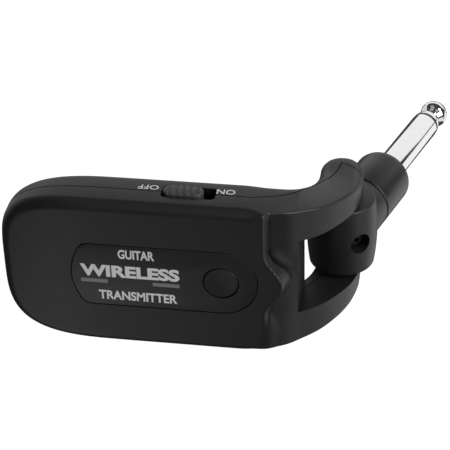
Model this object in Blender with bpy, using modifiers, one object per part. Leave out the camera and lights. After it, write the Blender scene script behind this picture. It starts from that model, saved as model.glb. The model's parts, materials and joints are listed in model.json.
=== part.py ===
"""Wireless guitar transmitter: a flat battery housing that folds on a 6.35 mm jack plug.

The origin is the centre of the plug's seat, the flat end of the collar that meets the
guitar's socket plate.  X runs along the housing toward its fork, Y from the front face to
the back, and Z along the hinge axis.  Lengths are in metres.
"""

import math

import bmesh
import bpy
from mathutils import Vector

MM = 0.001

# ---- Housing, measured from the hinge axis ------------------------------------------
BODY_END = 69.5 * MM          # hinge axis to the closed end
BODY_HALF_WIDTH = 17.7 * MM   # half of the housing's size along the hinge axis
FACE_Y = -23.5 * MM           # front face
BACK_Y = -11.5 * MM           # back face
PARTING_Y = -17.4 * MM        # where the two shells meet along the body
END_LENGTH = 25.5 * MM        # length of the rounded closed end
END_POWER = 3.8               # fullness of the rounded end
FACE_CROWN = 2.4 * MM         # how far the face falls back at the closed end
BACK_CROWN = 2.8 * MM
CROWN_LENGTH = 24.0 * MM
FACE_ROUND = 1.8 * MM         # rounded rim of the face
BACK_ROUND = 2.6 * MM         # rounded rim of the back
WALL = 1.6 * MM
FACE_WALL = 1.8 * MM
SEAM_GAP = 0.30 * MM          # gap between the two shells
FIT_GAP = 0.30 * MM           # gap between pieces that touch

# ---- Fork ---------------------------------------------------------------------------
ARM_SKIN = 5.0 * MM           # arm thickness at its tip, along the hinge axis
FINGER_RADIUS = 4.55 * MM
FINGER_CENTRE = (-0.45 * MM, 2.75 * MM)
ROOT_WALL_X = -7.1 * MM       # end wall of the body between the arms
FACE_EDGE_X = -13.0 * MM      # right-hand edge of the raised face
FACE_BULGE = 3.7 * MM         # how far that edge bulges round the button
BULGE_HALF = 7.6 * MM
TAPER_START = -19.0 * MM      # where the housing starts to narrow toward the fork
TAPER_END = 4.6 * MM

# ---- Swivel and plug ----------------------------------------------------------------
PLUG_ANGLE = math.radians(71.7)      # plug direction at rest, from +X
BARREL_RADIUS = 7.55 * MM
BARREL_END_RADIUS = 6.95 * MM
BARREL_HALF = 8.0 * MM
BARREL_BORE = 4.7 * MM               # diameter of the set screw's hole
SET_SCREW_ANGLE = math.radians(-52.0)
NECK_RADIUS = 6.4 * MM
NECK_END = 9.85 * MM
SEAT_DISTANCE = 23.8 * MM            # hinge axis to the plug's seat
COLLAR_FILLET = 2.5 * MM
PIN_RADIUS = 2.2 * MM
PIN_HOLLOW = 1.3 * MM
PIN_ENGAGEMENT = 2.2 * MM            # how far the pin reaches into each arm
WASHER_THICKNESS = 0.35 * MM
WASHER_RADIUS = 3.9 * MM
WASHER_GAP = 0.28 * MM
SLEEVE_RADIUS = 3.175 * MM
SLEEVE_LENGTH = 22.6 * MM
RING_LENGTH = 0.9 * MM
TIP_LENGTH = 8.0 * MM
TIP_RADIUS = 3.1 * MM
THREAD_RADIUS = 2.9 * MM
FLANGE_RADIUS = 4.4 * MM
ROD_RADIUS = 0.9 * MM
LEAD_RADIUS = 0.7 * MM
LUG_DEPTH = 1.45 * MM                # solder lug's far side, in from the plug's tail

# ---- Controls on the housing --------------------------------------------------------
BUTTON_X = -22.5 * MM
BUTTON_RADIUS = 3.55 * MM
BADGE_LEFT = -BODY_END + 15.6 * MM
BADGE_HALF = 7.5 * MM
BADGE_THICKNESS = 0.6 * MM
KNOB_LEFT = -34.9 * MM
KNOB_LENGTH = 8.4 * MM
KNOB_WIDTH = 3.6 * MM
KNOB_PROUD = 0.6 * MM
SWITCH_TRAVEL = 2.2 * MM
PORT_X = -22.5 * MM
PORT_LENGTH = 9.0 * MM
PORT_HEIGHT = 3.2 * MM
PORT_DEPTH = 7.0 * MM

# ---- Inside -------------------------------------------------------------------------
BOARD_THICKNESS = 1.0 * MM
BOARD_FRONT = -19.3 * MM
BOARD_RIGHT = -15.8 * MM
BOARD_LENGTH = 18.8 * MM
CELL_INSET = 11.9 * MM               # from the closed end to the battery
CELL_THICKNESS = 6.0 * MM
CELL_FRONT = -20.9 * MM
PAD_THICKNESS = 0.6 * MM
SCREW_HEAD_RADIUS = 2.0 * MM
SCREW_RADIUS = 1.0 * MM
BOSS_RADIUS = 2.4 * MM
END_SCREW_INSET = 8.2 * MM           # from the closed end to the end screws
END_SCREW_Z = 10.2 * MM
ROOT_SCREW_X = -12.6 * MM
ROOT_SCREW_Z = 12.4 * MM
LIGHT_PIPE_X = -31.0 * MM
LIGHT_PIPE_RADIUS = 0.9 * MM

# ---- Worked out from the sizes above ------------------------------------------------
WINDOW_HALF = BARREL_HALF + WASHER_THICKNESS + 2 * WASHER_GAP
ARM_TIP_HALF = WINDOW_HALF + ARM_SKIN
PIN_HALF = WINDOW_HALF + PIN_ENGAGEMENT
LEAD_Z = PIN_HALF + LEAD_RADIUS + 0.1 * MM
SLEEVE_END = SEAT_DISTANCE + SLEEVE_LENGTH
RING_END = SLEEVE_END + RING_LENGTH
TIP_END = RING_END + TIP_LENGTH
TAIL_START = PIN_RADIUS + 3.0 * MM
BOARD_BACK = BOARD_FRONT + BOARD_THICKNESS
BOARD_LEFT = BOARD_RIGHT - BOARD_LENGTH
CELL_LEFT = -BODY_END + CELL_INSET
CELL_RIGHT = BOARD_LEFT - 1.0 * MM
FAR = 40 * MM                        # longer than any wall, for through cuts


# ---- Scene helpers ------------------------------------------------------------------
def clear_scene():
    for item in list(bpy.data.objects):
        bpy.data.objects.remove(item)


def collection(name):
    group = bpy.data.collections.new(name)
    bpy.context.scene.collection.children.link(group)
    return group


def material(name, colour, roughness, metallic=0.0):
    made = bpy.data.materials.new(name)
    made.use_nodes = True
    shader = made.node_tree.nodes["Principled BSDF"]
    shader.inputs["Base Color"].default_value = (*colour, 1.0)
    shader.inputs["Roughness"].default_value = roughness
    shader.inputs["Metallic"].default_value = metallic
    return made


def empty(name, location, rotation=(0, 0, 0), parent=None):
    made = bpy.data.objects.new(name, None)
    made.location = location
    made.rotation_euler = rotation
    made.parent = parent
    PARTS.objects.link(made)
    return made


def baked(source, name, turn_outward=True):
    """Return a closed mesh object with the shape that source has after its modifiers."""
    bpy.context.view_layer.update()
    evaluated = source.evaluated_get(bpy.context.evaluated_depsgraph_get())
    mesh = bpy.data.meshes.new_from_object(evaluated)
    work = bmesh.new()
    work.from_mesh(mesh)
    bmesh.ops.remove_doubles(work, verts=work.verts, dist=0.002 * MM)
    if turn_outward:
        bmesh.ops.recalc_face_normals(work, faces=work.faces)
    work.to_mesh(mesh)
    work.free()
    groups, parent, place = list(source.users_collection), source.parent, source.matrix_basis.copy()
    bpy.data.objects.remove(source)
    made = bpy.data.objects.new(name, mesh)
    made.parent = parent
    made.matrix_basis = place
    for group in groups:
        group.objects.link(made)
    return made


def slab(name, outline, low, high, across, parent):
    """A flat outline given thickness: (x, z) points across Y, or (x, y) points across Z."""
    curve = bpy.data.curves.new(name, "CURVE")
    curve.dimensions = "2D"
    curve.fill_mode = "BOTH"
    curve.extrude = (high - low) / 2
    spline = curve.splines.new("POLY")
    spline.points.add(len(outline) - 1)
    for point, (first, second) in zip(spline.points, outline):
        point.co = (first, second, 0, 1)
    spline.use_cyclic_u = True
    flat = bpy.data.objects.new(name, curve)
    middle = (low + high) / 2
    flat.location = (0, middle, 0) if across == "Y" else (0, 0, middle)
    flat.rotation_euler = (math.pi / 2, 0, 0) if across == "Y" else (0, 0, 0)
    flat.parent = parent
    PARTS.objects.link(flat)
    return baked(flat, name)


def box(name, low, high, parent):
    work = bmesh.new()
    bmesh.ops.create_cube(work, size=1)
    size = Vector(high) - Vector(low)
    bmesh.ops.scale(work, verts=work.verts, vec=size)
    bmesh.ops.translate(work, verts=work.verts, vec=(Vector(high) + Vector(low)) / 2)
    return from_bmesh(name, work, parent)


def rod(name, radius, start, end, parent, sides=24):
    """A straight cylinder from start to end."""
    start, end = Vector(start), Vector(end)
    work = bmesh.new()
    bmesh.ops.create_cone(
        work, cap_ends=True, segments=sides, radius1=radius, radius2=radius,
        depth=(end - start).length)
    turn = Vector((0, 0, 1)).rotation_difference(end - start).to_matrix()
    bmesh.ops.rotate(work, verts=work.verts, matrix=turn)
    bmesh.ops.translate(work, verts=work.verts, vec=(start + end) / 2)
    return from_bmesh(name, work, parent)


def from_bmesh(name, work, parent):
    mesh = bpy.data.meshes.new(name)
    work.to_mesh(mesh)
    work.free()
    made = bpy.data.objects.new(name, mesh)
    made.parent = parent
    PARTS.objects.link(made)
    return made


def turned(name, profile, parent, steps=32, ring=False):
    """A turned solid about its parent's Z.  The profile runs down the outer side."""
    work = bmesh.new()
    verts = [work.verts.new((radius, 0, height)) for radius, height in profile]
    for first, second in zip(verts, verts[1:]):
        work.edges.new((first, second))
    if ring:
        work.edges.new((verts[-1], verts[0]))
    made = from_bmesh(name, work, parent)
    screw = made.modifiers.new("turn", "SCREW")
    screw.steps = screw.render_steps = steps
    screw.use_merge_vertices = True
    screw.merge_threshold = 0.01 * MM
    return baked(made, name)


def wire(name, points, radius, parent):
    """A round wire along smooth points, with closed ends."""
    curve = bpy.data.curves.new(name, "CURVE")
    curve.dimensions = "3D"
    curve.bevel_depth = radius
    curve.bevel_resolution = 2
    curve.use_fill_caps = True
    spline = curve.splines.new("POLY")
    spline.points.add(len(points) - 1)
    for point, place in zip(spline.points, points):
        point.co = (*place, 1)
    made = bpy.data.objects.new(name, curve)
    made.parent = parent
    PARTS.objects.link(made)
    return baked(made, name)


def combine(target, operation, *tools):
    """Cut, join or intersect target with each tool, which then moves to the cutters."""
    for tool in tools:
        change = target.modifiers.new(tool.name, "BOOLEAN")
        change.operation = operation
        change.object = tool
        tool.hide_render = True
        tool.display_type = "WIRE"
        PARTS.objects.unlink(tool)
        CUTTERS.objects.link(tool)
        target = baked(target, target.name, turn_outward=False)
    return target


def duplicate(source, name):
    made = bpy.data.objects.new(name, source.data.copy())
    made.parent = source.parent
    made.matrix_basis = source.matrix_basis
    PARTS.objects.link(made)
    return made


def finish(piece, finish_material, smooth_angle=35):
    piece.data.materials.clear()
    piece.data.materials.append(finish_material)
    piece.data.shade_smooth()
    piece.data.set_sharp_from_angle(angle=math.radians(smooth_angle))
    return piece


# ---- Outlines -----------------------------------------------------------------------
def smooth_line(points, steps=4):
    """Points on a Catmull-Rom curve through the given points."""
    padded = [points[0], *points, points[-1]]
    line = []
    for before, start, end, after in zip(padded, padded[1:], padded[2:], padded[3:]):
        for step in range(steps):
            t = step / steps
            line.append(tuple(
                0.5 * (2 * b + (c - a) * t + (2 * a - 5 * b + 4 * c - d) * t ** 2
                       + (3 * b - a - 3 * c + d) * t ** 3)
                for a, b, c, d in zip(before, start, end, after)))
    return line + [points[-1]]


def arc(centre, radius, start, end, steps):
    turns = [start + (end - start) * step / steps for step in range(steps + 1)]
    return [(centre[0] + radius * math.cos(turn), centre[1] + radius * math.sin(turn))
            for turn in turns]


def half_height(x):
    """Half of the housing's size along Z, from the body to the arms' tips."""
    share = min(1.0, max(0.0, (x - TAPER_START) / (TAPER_END - TAPER_START)))
    return BODY_HALF_WIDTH - (BODY_HALF_WIDTH - ARM_TIP_HALF) * share ** 1.5


def end_line(inset=0.0):
    """Upper edge of the rounded closed end, as (x, z) points from its tip to the body."""
    start = -BODY_END + END_LENGTH
    length, height = END_LENGTH - inset, BODY_HALF_WIDTH - inset
    quarter = [math.pi / 2 * (1 - (step + 0.4) / 12) for step in range(12)]
    return [(start - length * math.sin(turn) ** (2 / END_POWER),
             height * math.cos(turn) ** (2 / END_POWER)) for turn in quarter]


def inner_outline():
    """The cavity seen from the front."""
    right = ROOT_WALL_X - WALL
    steps = [-BODY_END + END_LENGTH + 1 * MM, TAPER_START, ROOT_SCREW_X, right]
    upper = end_line(WALL) + [(x, half_height(x) - WALL) for x in steps]
    return upper + [(x, -z) for x, z in reversed(upper)]


def crown(x, amount):
    start = -BODY_END + CROWN_LENGTH
    return amount * max(0.0, (start - x) / CROWN_LENGTH) ** 2.2


# Matching points on the front and the back of the fork, from the body to the finger's side.
FORK_FRONT = [(-14.4 * MM, FACE_Y), (-12.6 * MM, -22.9 * MM), (-9.4 * MM, -21.3 * MM),
              (-6.6 * MM, -19.3 * MM), (-3.0 * MM, -16.6 * MM), (0.0, -13.0 * MM),
              (2.7 * MM, -8.3 * MM), (4.0 * MM, -3.8 * MM), (4.1 * MM, 0.2 * MM)]
FORK_BACK = [(-14.4 * MM, BACK_Y + 0.05 * MM), (-12.7 * MM, -11.2 * MM), (-10.2 * MM, -10.5 * MM),
             (-8.3 * MM, -9.4 * MM), (-6.9 * MM, -7.6 * MM), (-5.9 * MM, -5.4 * MM),
             (-5.3 * MM, -2.8 * MM), (-5.0 * MM, -0.4 * MM), (-4.95 * MM, 1.8 * MM)]


def seam_side(front, gap=0.0):
    """Everything on one side of the shells' seam, seen along the hinge axis.

    The back shell's side grows by gap, so that a groove stays open between the shells.
    """
    body = [(-17.0, -17.4), (-12.2, -15.6), (-8.4, -12.8), (-5.6, -8.9), (-3.8, -5.4),
            (-2.3, -2.4), (-1.3, 0.5), (-0.7, 3.6)]
    seam = smooth_line([(x * MM, y * MM) for x, y in body], 2)
    seam = [(-BODY_END - 10 * MM, PARTING_Y), *seam, (3.4 * MM, 1.6 * MM), (12 * MM, -2.6 * MM)]
    if front:
        return seam + [(12 * MM, -FAR), (-BODY_END - 10 * MM, -FAR)]
    return offset_line(seam + [(12 * MM, FAR), (-BODY_END - 10 * MM, FAR)], gap)


def bulge_outline():
    """The part of the raised face that bulges past its edge, round the button."""
    steps = [BULGE_HALF * (step / 7 - 1) for step in range(15)]
    edge = [(FACE_EDGE_X + FACE_BULGE * 0.5 * (1 + math.cos(math.pi * z / BULGE_HALF)), z)
            for z in steps]
    inside = FACE_EDGE_X - 3.7 * MM
    return [(inside, -BULGE_HALF), *edge, (inside, BULGE_HALF)]


def badge_outline(inset=0.0):
    """The badge: bulged at the left, with a half round end about the button."""
    half = BADGE_HALF - inset
    right = arc((BUTTON_X, 0), half, -math.pi / 2, math.pi / 2, 14)
    corner = 3.0 * MM
    left = BADGE_LEFT + inset + 1.4 * MM
    upper = arc((left + corner, half - corner), corner, math.pi / 2, math.pi * 0.93, 4)
    side = [(BADGE_LEFT + inset + 0.36 * MM, 2.4 * MM), (BADGE_LEFT + inset, 0)]
    lower = [(x, -z) for x, z in reversed(upper + side[:1])]
    return right + upper + side + lower


def stadium(centre, length, width, steps=6):
    """A slot outline with round ends, length along the first direction."""
    radius, reach = width / 2, (length - width) / 2
    right = arc((centre[0] + reach, centre[1]), radius, -math.pi / 2, math.pi / 2, steps)
    left = arc((centre[0] - reach, centre[1]), radius, math.pi / 2, 3 * math.pi / 2, steps)
    return right + left


# ---- Housing ------------------------------------------------------------------------
def rim_rows(radius):
    """Steps round a rim, from its side to its flat, as (depth from the flat, inset)."""
    turns = [math.pi / 2 * step / 3 for step in range(4)]
    return [(radius * (1 - math.sin(turn)), radius * (1 - math.cos(turn))) for turn in turns]


def inward(line):
    """Unit normals of a plan line that runs toward the arms' tips, turned to its left."""
    normals = []
    for index in range(len(line)):
        before, after = line[max(0, index - 1)], line[min(len(line) - 1, index + 1)]
        normals.append(Vector((before[1] - after[1], after[0] - before[0])).normalized())
    return normals


def housing_rings():
    """Sections of the solid housing, each a ring of points from the face round to the back."""
    front_rows, back_rows = rim_rows(FACE_ROUND)[::-1], rim_rows(BACK_ROUND)

    def ring(front_points, back_points):
        upper = front_points + back_points
        return upper + [(x, y, -z) for x, y, z in reversed(upper)]

    rings = []
    ends_front = [(depth, end_line(inset)) for depth, inset in front_rows]
    ends_back = [(depth, end_line(inset)) for depth, inset in back_rows]
    for index in range(len(end_line())):
        front = [(line[index][0], FACE_Y + crown(line[index][0], FACE_CROWN) + depth, line[index][1])
                 for depth, line in ends_front]
        back = [(line[index][0], BACK_Y - crown(line[index][0], BACK_CROWN) - depth, line[index][1])
                for depth, line in ends_back]
        rings.append(ring(front, back))

    straight = [(-BODY_END + END_LENGTH) * (1 - share) + TAPER_START * share for share in (0.1, 0.6, 1)]
    tip_turns = [0.35, 0.7, 1.0, 1.2, 1.36]
    tip_front = [arc(FINGER_CENTRE, FINGER_RADIUS, turn, turn, 1)[0] for turn in [0.0, *tip_turns]]
    tip_back = [(2 * FINGER_CENTRE[0] - x, y) for x, y in tip_front]
    front_line = [(x, FACE_Y) for x in straight] + smooth_line(FORK_FRONT, 2) + tip_front
    back_line = [(x, BACK_Y) for x in straight] + smooth_line(FORK_BACK, 2) + tip_back
    reach = TAPER_START
    for start, back_start, normal, back_normal in zip(
            front_line, back_line, inward(front_line), inward(back_line)):
        reach = max(reach, start[0])
        height = half_height(reach)
        fade = min(1.0, (reach - TAPER_START) / (TAPER_END - TAPER_START))
        front_rows = rim_rows(FACE_ROUND + (BACK_ROUND - FACE_ROUND) * fade)[::-1]
        front = [(start[0] + normal.x * depth, start[1] + normal.y * depth, height - inset)
                 for depth, inset in front_rows]
        back = [(back_start[0] - back_normal.x * depth, back_start[1] - back_normal.y * depth,
                 height - inset) for depth, inset in back_rows]
        rings.append(ring(front, back))
    return rings


def loft(name, rings, parent):
    """A closed solid through matching rings of points.

    A ring starts at the upper edge of the face, and its lower half mirrors its upper
    half.  The first ring is closed top to bottom, the last one face to back.
    """
    work = bmesh.new()
    loops = [[work.verts.new(point) for point in ring] for ring in rings]
    count = len(loops[0])
    half, quarter = count // 2, count // 4
    for loop, following in zip(loops, loops[1:]):
        for index in range(count):
            work.faces.new((loop[index], loop[index - 1], following[index - 1], following[index]))
    first, last = loops[0], loops[-1]
    for index in range(half - 1):
        corners = (index, index + 1, -index - 2, -index - 1)
        work.faces.new([first[corner] for corner in corners])
    for index in range(quarter - 1):
        corners = (index, index + 1, half - index - 2, half - index - 1)
        work.faces.new([last[corner] for corner in corners])
        work.faces.new([last[-1 - corner] for corner in reversed(corners)])
    work.faces.new((last[0], last[half - 1], last[half], last[-1]))
    bmesh.ops.recalc_face_normals(work, faces=work.faces)
    bmesh.ops.triangulate(work, faces=work.faces)
    return from_bmesh(name, work, parent)


def screw_places():
    end_x = -BODY_END + END_SCREW_INSET
    return [(end_x, END_SCREW_Z), (end_x, -END_SCREW_Z),
            (ROOT_SCREW_X, ROOT_SCREW_Z), (ROOT_SCREW_X, -ROOT_SCREW_Z)]


def lead_route():
    """The lead's way from the top of the hinge pin, along the upper arm, to the board."""
    points = [(0, 0, LEAD_Z - 0.5 * MM), (-0.5 * MM, -1.2 * MM, LEAD_Z), (-2.2 * MM, -5 * MM, LEAD_Z),
              (-4.0 * MM, -10 * MM, LEAD_Z), (-6.8 * MM, -14.5 * MM, LEAD_Z),
              (-11 * MM, -16.6 * MM, 8.0 * MM), (-15 * MM, -16.6 * MM, 5.0 * MM),
              (BOARD_RIGHT - 1.2 * MM, BOARD_BACK + LEAD_RADIUS + FIT_GAP, 4.0 * MM)]
    return smooth_line(points, 3)


def housing_block(parent):
    block = loft("housing", housing_rings(), parent)
    bulge = slab("face_bulge", bulge_outline(), FACE_Y + 0.05 * MM, FORK_FRONT[3][1], "Y", parent)
    window = box("window_cut", (ROOT_WALL_X, -FAR, -WINDOW_HALF), (FAR, FAR, WINDOW_HALF), parent)
    return combine(combine(block, "UNION", bulge), "DIFFERENCE", window)


def housing_cavity(parent):
    """The room inside the body, with the screw bosses standing in it."""
    right = ROOT_WALL_X - WALL
    plan = [(-BODY_END + WALL, FACE_Y + FACE_CROWN + 1.0 * MM),
            (-BODY_END + CROWN_LENGTH, FACE_Y + FACE_WALL), (-17 * MM, FACE_Y + FACE_WALL),
            (-13 * MM, FORK_FRONT[1][1] + FACE_WALL + 0.4 * MM), (right, FORK_FRONT[3][1] + 0.6 * MM),
            (right, BACK_Y - WALL), (-BODY_END + CROWN_LENGTH, BACK_Y - WALL),
            (-BODY_END + WALL, BACK_Y - BACK_CROWN - WALL)]
    cavity = slab("cavity", inner_outline(), -FAR, FAR, "Y", parent)
    cavity = combine(cavity, "INTERSECT", slab("cavity_plan", plan, -FAR, FAR, "Z", parent))
    bosses = [rod(f"boss_{index}", BOSS_RADIUS, (x, -FAR, z), (x, FAR, z), parent, 20)
              for index, (x, z) in enumerate(screw_places(), 1)]
    return combine(cavity, "DIFFERENCE", *bosses)


def switch_centre():
    """Middle of the switch knob at rest, along X."""
    return KNOB_LEFT + KNOB_LENGTH / 2


def make_shells(parent):
    housing = combine(housing_block(parent), "DIFFERENCE", housing_cavity(parent))
    cutters = [rod("pin_seat_up", PIN_RADIUS + FIT_GAP, (0, 0, 0), (0, 0, PIN_HALF + FIT_GAP), parent),
               rod("pin_seat_low", PIN_RADIUS + FIT_GAP, (0, 0, 0), (0, 0, -PIN_HALF - FIT_GAP),
                   parent),
               wire("lead_way", [(0, 0, PIN_HALF - 0.5 * MM)] + lead_route()[2:-5],
                    LEAD_RADIUS + FIT_GAP, parent)]
    top = BODY_HALF_WIDTH
    slot_middle = (switch_centre() + SWITCH_TRAVEL / 2, PARTING_Y)
    slot = stadium(slot_middle, KNOB_LENGTH + SWITCH_TRAVEL + 2 * FIT_GAP, KNOB_WIDTH + 2 * FIT_GAP)
    cutters.append(slab("switch_slot", slot, top - 3 * MM, top + 3 * MM, "Z", parent))
    port_y = BOARD_BACK + FIT_GAP + PORT_HEIGHT / 2
    port = stadium((PORT_X, port_y), PORT_LENGTH + 2 * FIT_GAP, PORT_HEIGHT + 2 * FIT_GAP)
    cutters.append(slab("port_slot", port, -top - 3 * MM, -top + 3 * MM, "Z", parent))
    cutters.append(rod("light_hole", LIGHT_PIPE_RADIUS + FIT_GAP, (LIGHT_PIPE_X, PARTING_Y, -FAR),
                       (LIGHT_PIPE_X, PARTING_Y, -top + 3 * MM), parent, 16))
    for index, (x, z) in enumerate(screw_places(), 1):
        cutters.append(rod(f"screw_hole_{index}", SCREW_RADIUS + FIT_GAP, (x, FACE_Y + 3.4 * MM, z),
                           (x, FAR, z), parent, 16))
        cutters.append(rod(f"head_hole_{index}", SCREW_HEAD_RADIUS + FIT_GAP,
                           (x, BACK_Y - 2.6 * MM, z), (x, FAR, z), parent, 20))
    badge = slab("badge_recess", badge_outline(-FIT_GAP), FACE_Y - 5 * MM,
                 FACE_Y + BADGE_THICKNESS + FIT_GAP, "Y", parent)
    button = rod("button_hole", BUTTON_RADIUS + FIT_GAP, (BUTTON_X, -FAR, 0),
                 (BUTTON_X, FACE_Y + 4 * MM, 0), parent)
    housing = combine(housing, "DIFFERENCE", *cutters, badge, button)

    front = duplicate(housing, "front_shell")
    front = combine(front, "DIFFERENCE",
                    slab("back_side", seam_side(False, SEAM_GAP), -FAR, FAR, "Z", parent))
    back = combine(housing, "DIFFERENCE",
                   slab("front_side", seam_side(True), -FAR, FAR, "Z", parent))
    back.name = "back_shell"
    finish(front, PLASTIC)
    finish(back, PLASTIC)


def offset_line(outline, gap):
    """The same closed clockwise outline, moved inward by gap, or anticlockwise, outward."""
    moved = []
    count = len(outline)
    for index, (x, y) in enumerate(outline):
        before, after = outline[index - 1], outline[(index + 1) % count]
        first = Vector((x - before[0], y - before[1])).normalized()
        second = Vector((after[0] - x, after[1] - y)).normalized()
        side = Vector((first.y, -first.x)) + Vector((second.y, -second.x))
        shift = side * (gap / (1 + first.dot(second)))
        moved.append((x + shift.x, y + shift.y))
    return moved


def make_badge_and_button(parent, button_parent):
    badge = slab("badge_plate", badge_outline(), FACE_Y, FACE_Y + BADGE_THICKNESS, "Y", parent)
    hole = rod("badge_hole", BUTTON_RADIUS + FIT_GAP, (BUTTON_X, -FAR, 0), (BUTTON_X, 0, 0), parent)
    finish(combine(badge, "DIFFERENCE", hole), BADGE)
    wall_back = FACE_Y + FACE_WALL
    profile = [(0, FACE_Y), (BUTTON_RADIUS - 0.25 * MM, FACE_Y), (BUTTON_RADIUS, FACE_Y + 0.25 * MM),
               (BUTTON_RADIUS, wall_back + FIT_GAP), (BUTTON_RADIUS + 0.9 * MM, wall_back + FIT_GAP),
               (BUTTON_RADIUS + 0.9 * MM, wall_back + FIT_GAP + 0.4 * MM),
               (1.0 * MM, wall_back + FIT_GAP + 0.4 * MM), (1.0 * MM, wall_back + FIT_GAP + 0.55 * MM),
               (0, wall_back + FIT_GAP + 0.55 * MM)]
    button = turned("function_button", [(radius, -y) for radius, y in profile], button_parent, 28)
    finish(button, BUTTON)


def make_switch(parent, slide_parent):
    """The slide switch: its frame on the board, its lever and the knob outside."""
    top = BODY_HALF_WIDTH
    middle = switch_centre()
    knob = slab("switch_knob", stadium((middle, PARTING_Y), KNOB_LENGTH, KNOB_WIDTH),
                top - WALL, top + KNOB_PROUD, "Z", slide_parent)
    ribs = []
    for index in range(4):
        x = middle + (index - 1.5) * 1.9 * MM
        ribs.append(box(f"knob_groove_{index + 1}", (x - 0.25 * MM, -FAR, top + KNOB_PROUD - 0.4 * MM),
                        (x + 0.25 * MM, 0, top + FAR), slide_parent))
    finish(combine(knob, "DIFFERENCE", *ribs), KNOB)
    frame_top = top - WALL - 3.0 * MM
    finish(box("switch_lever", (middle - 1.0 * MM, PARTING_Y - 0.7 * MM, frame_top + FIT_GAP),
               (middle + 1.0 * MM, PARTING_Y + 0.7 * MM, top - WALL - FIT_GAP), slide_parent), STEEL)
    travel_middle = middle + SWITCH_TRAVEL / 2
    finish(box("switch_frame", (travel_middle - 5.0 * MM, BOARD_BACK + FIT_GAP, frame_top - 3.4 * MM),
               (travel_middle + 5.0 * MM, BOARD_BACK + FIT_GAP + 3.2 * MM, frame_top), parent), STEEL)


def make_board(parent):
    half = BODY_HALF_WIDTH - WALL - 4.8 * MM
    board = box("circuit_board", (BOARD_LEFT, BOARD_FRONT, -BODY_HALF_WIDTH + WALL + 1.2 * MM),
                (BOARD_RIGHT, BOARD_BACK, half), parent)
    finish(board, BOARD)
    front = BOARD_FRONT - FIT_GAP
    finish(box("tact_switch", (BUTTON_X - 2.2 * MM, front - 0.7 * MM, -2.2 * MM),
               (BUTTON_X + 2.2 * MM, front, 2.2 * MM), parent), STEEL)
    finish(box("chip_antenna", (BOARD_RIGHT - 3.4 * MM, front - 0.9 * MM, -11 * MM),
               (BOARD_RIGHT - 1.8 * MM, front, -5.5 * MM), parent), CERAMIC)
    back = BOARD_BACK + FIT_GAP
    finish(box("radio_shield", (BOARD_LEFT + 2.0 * MM, back, -6.5 * MM),
               (BOARD_RIGHT - 4.0 * MM, back + 1.6 * MM, 5.0 * MM), parent), STEEL)
    led_z = -BODY_HALF_WIDTH + WALL + 3.6 * MM
    finish(box("status_led", (LIGHT_PIPE_X - 0.8 * MM, back, led_z),
               (LIGHT_PIPE_X + 0.8 * MM, back + 0.9 * MM, led_z + 1.2 * MM), parent), CLEAR)
    finish(rod("light_pipe", LIGHT_PIPE_RADIUS, (LIGHT_PIPE_X, PARTING_Y, -BODY_HALF_WIDTH + 0.2 * MM),
               (LIGHT_PIPE_X, PARTING_Y, led_z - FIT_GAP), parent, 16), CLEAR)
    low = -BODY_HALF_WIDTH + 0.5 * MM
    port_y = back + PORT_HEIGHT / 2
    port = slab("charging_port", stadium((PORT_X, port_y), PORT_LENGTH, PORT_HEIGHT), low,
                low + PORT_DEPTH, "Z", parent)
    hollow = slab("port_hollow", stadium((PORT_X, port_y), PORT_LENGTH - 0.8 * MM, PORT_HEIGHT - 0.8 * MM),
                  low - 1 * MM, low + PORT_DEPTH - 1.0 * MM, "Z", parent)
    finish(combine(port, "DIFFERENCE", hollow), STEEL)


def make_battery(parent):
    half = BODY_HALF_WIDTH - WALL - 3.0 * MM
    low = (CELL_LEFT, CELL_FRONT, -half)
    high = (CELL_RIGHT, CELL_FRONT + CELL_THICKNESS, half)
    cell = box("battery_cell", low, high, parent)
    bevel = cell.modifiers.new("pouch_edges", "BEVEL")
    bevel.width = 1.2 * MM
    bevel.segments = 2
    finish(cell, POUCH)
    pad_low = CELL_FRONT + CELL_THICKNESS + FIT_GAP
    finish(box("battery_pad", (low[0] + 7 * MM, pad_low, -half + 4 * MM),
               (high[0] - 3 * MM, pad_low + PAD_THICKNESS, half - 4 * MM), parent), FOAM)
    middle_y = BOARD_BACK + 1.4 * MM
    for name, z, colour in (("battery_lead_red", -7.4 * MM, RED), ("battery_lead_black", -9.4 * MM, BLACK)):
        points = smooth_line([(CELL_RIGHT + FIT_GAP, middle_y, z),
                              (CELL_RIGHT + 1.5 * MM, middle_y + 0.4 * MM, z),
                              (BOARD_LEFT + 1.5 * MM, middle_y, z),
                              (BOARD_LEFT + 3.2 * MM, BOARD_BACK + FIT_GAP + 0.4 * MM, z)], 3)
        finish(wire(name, points, 0.4 * MM, parent), colour)


def make_housing_lead(parent):
    finish(wire("lead_in_housing", lead_route(), LEAD_RADIUS, parent), BLACK)


def make_shell_screws(parent):
    head_back = BACK_Y - 0.6 * MM
    head_front = BACK_Y - 2.6 * MM + FIT_GAP
    tip = FACE_Y + 3.4 * MM + FIT_GAP
    for index, (x, z) in enumerate(screw_places(), 1):
        profile = [(0, head_back), (SCREW_HEAD_RADIUS - 0.3 * MM, head_back),
                   (SCREW_HEAD_RADIUS, head_back - 0.4 * MM), (SCREW_HEAD_RADIUS, head_front),
                   (SCREW_RADIUS, head_front), (SCREW_RADIUS, tip + 0.8 * MM), (0, tip)]
        axis = empty(f"screw_axis_{index}", (x, 0, z), (-math.pi / 2, 0, 0), parent)
        screw = turned(f"shell_screw_{index}", profile, axis, 20)
        finish(screw, STEEL)


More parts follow.
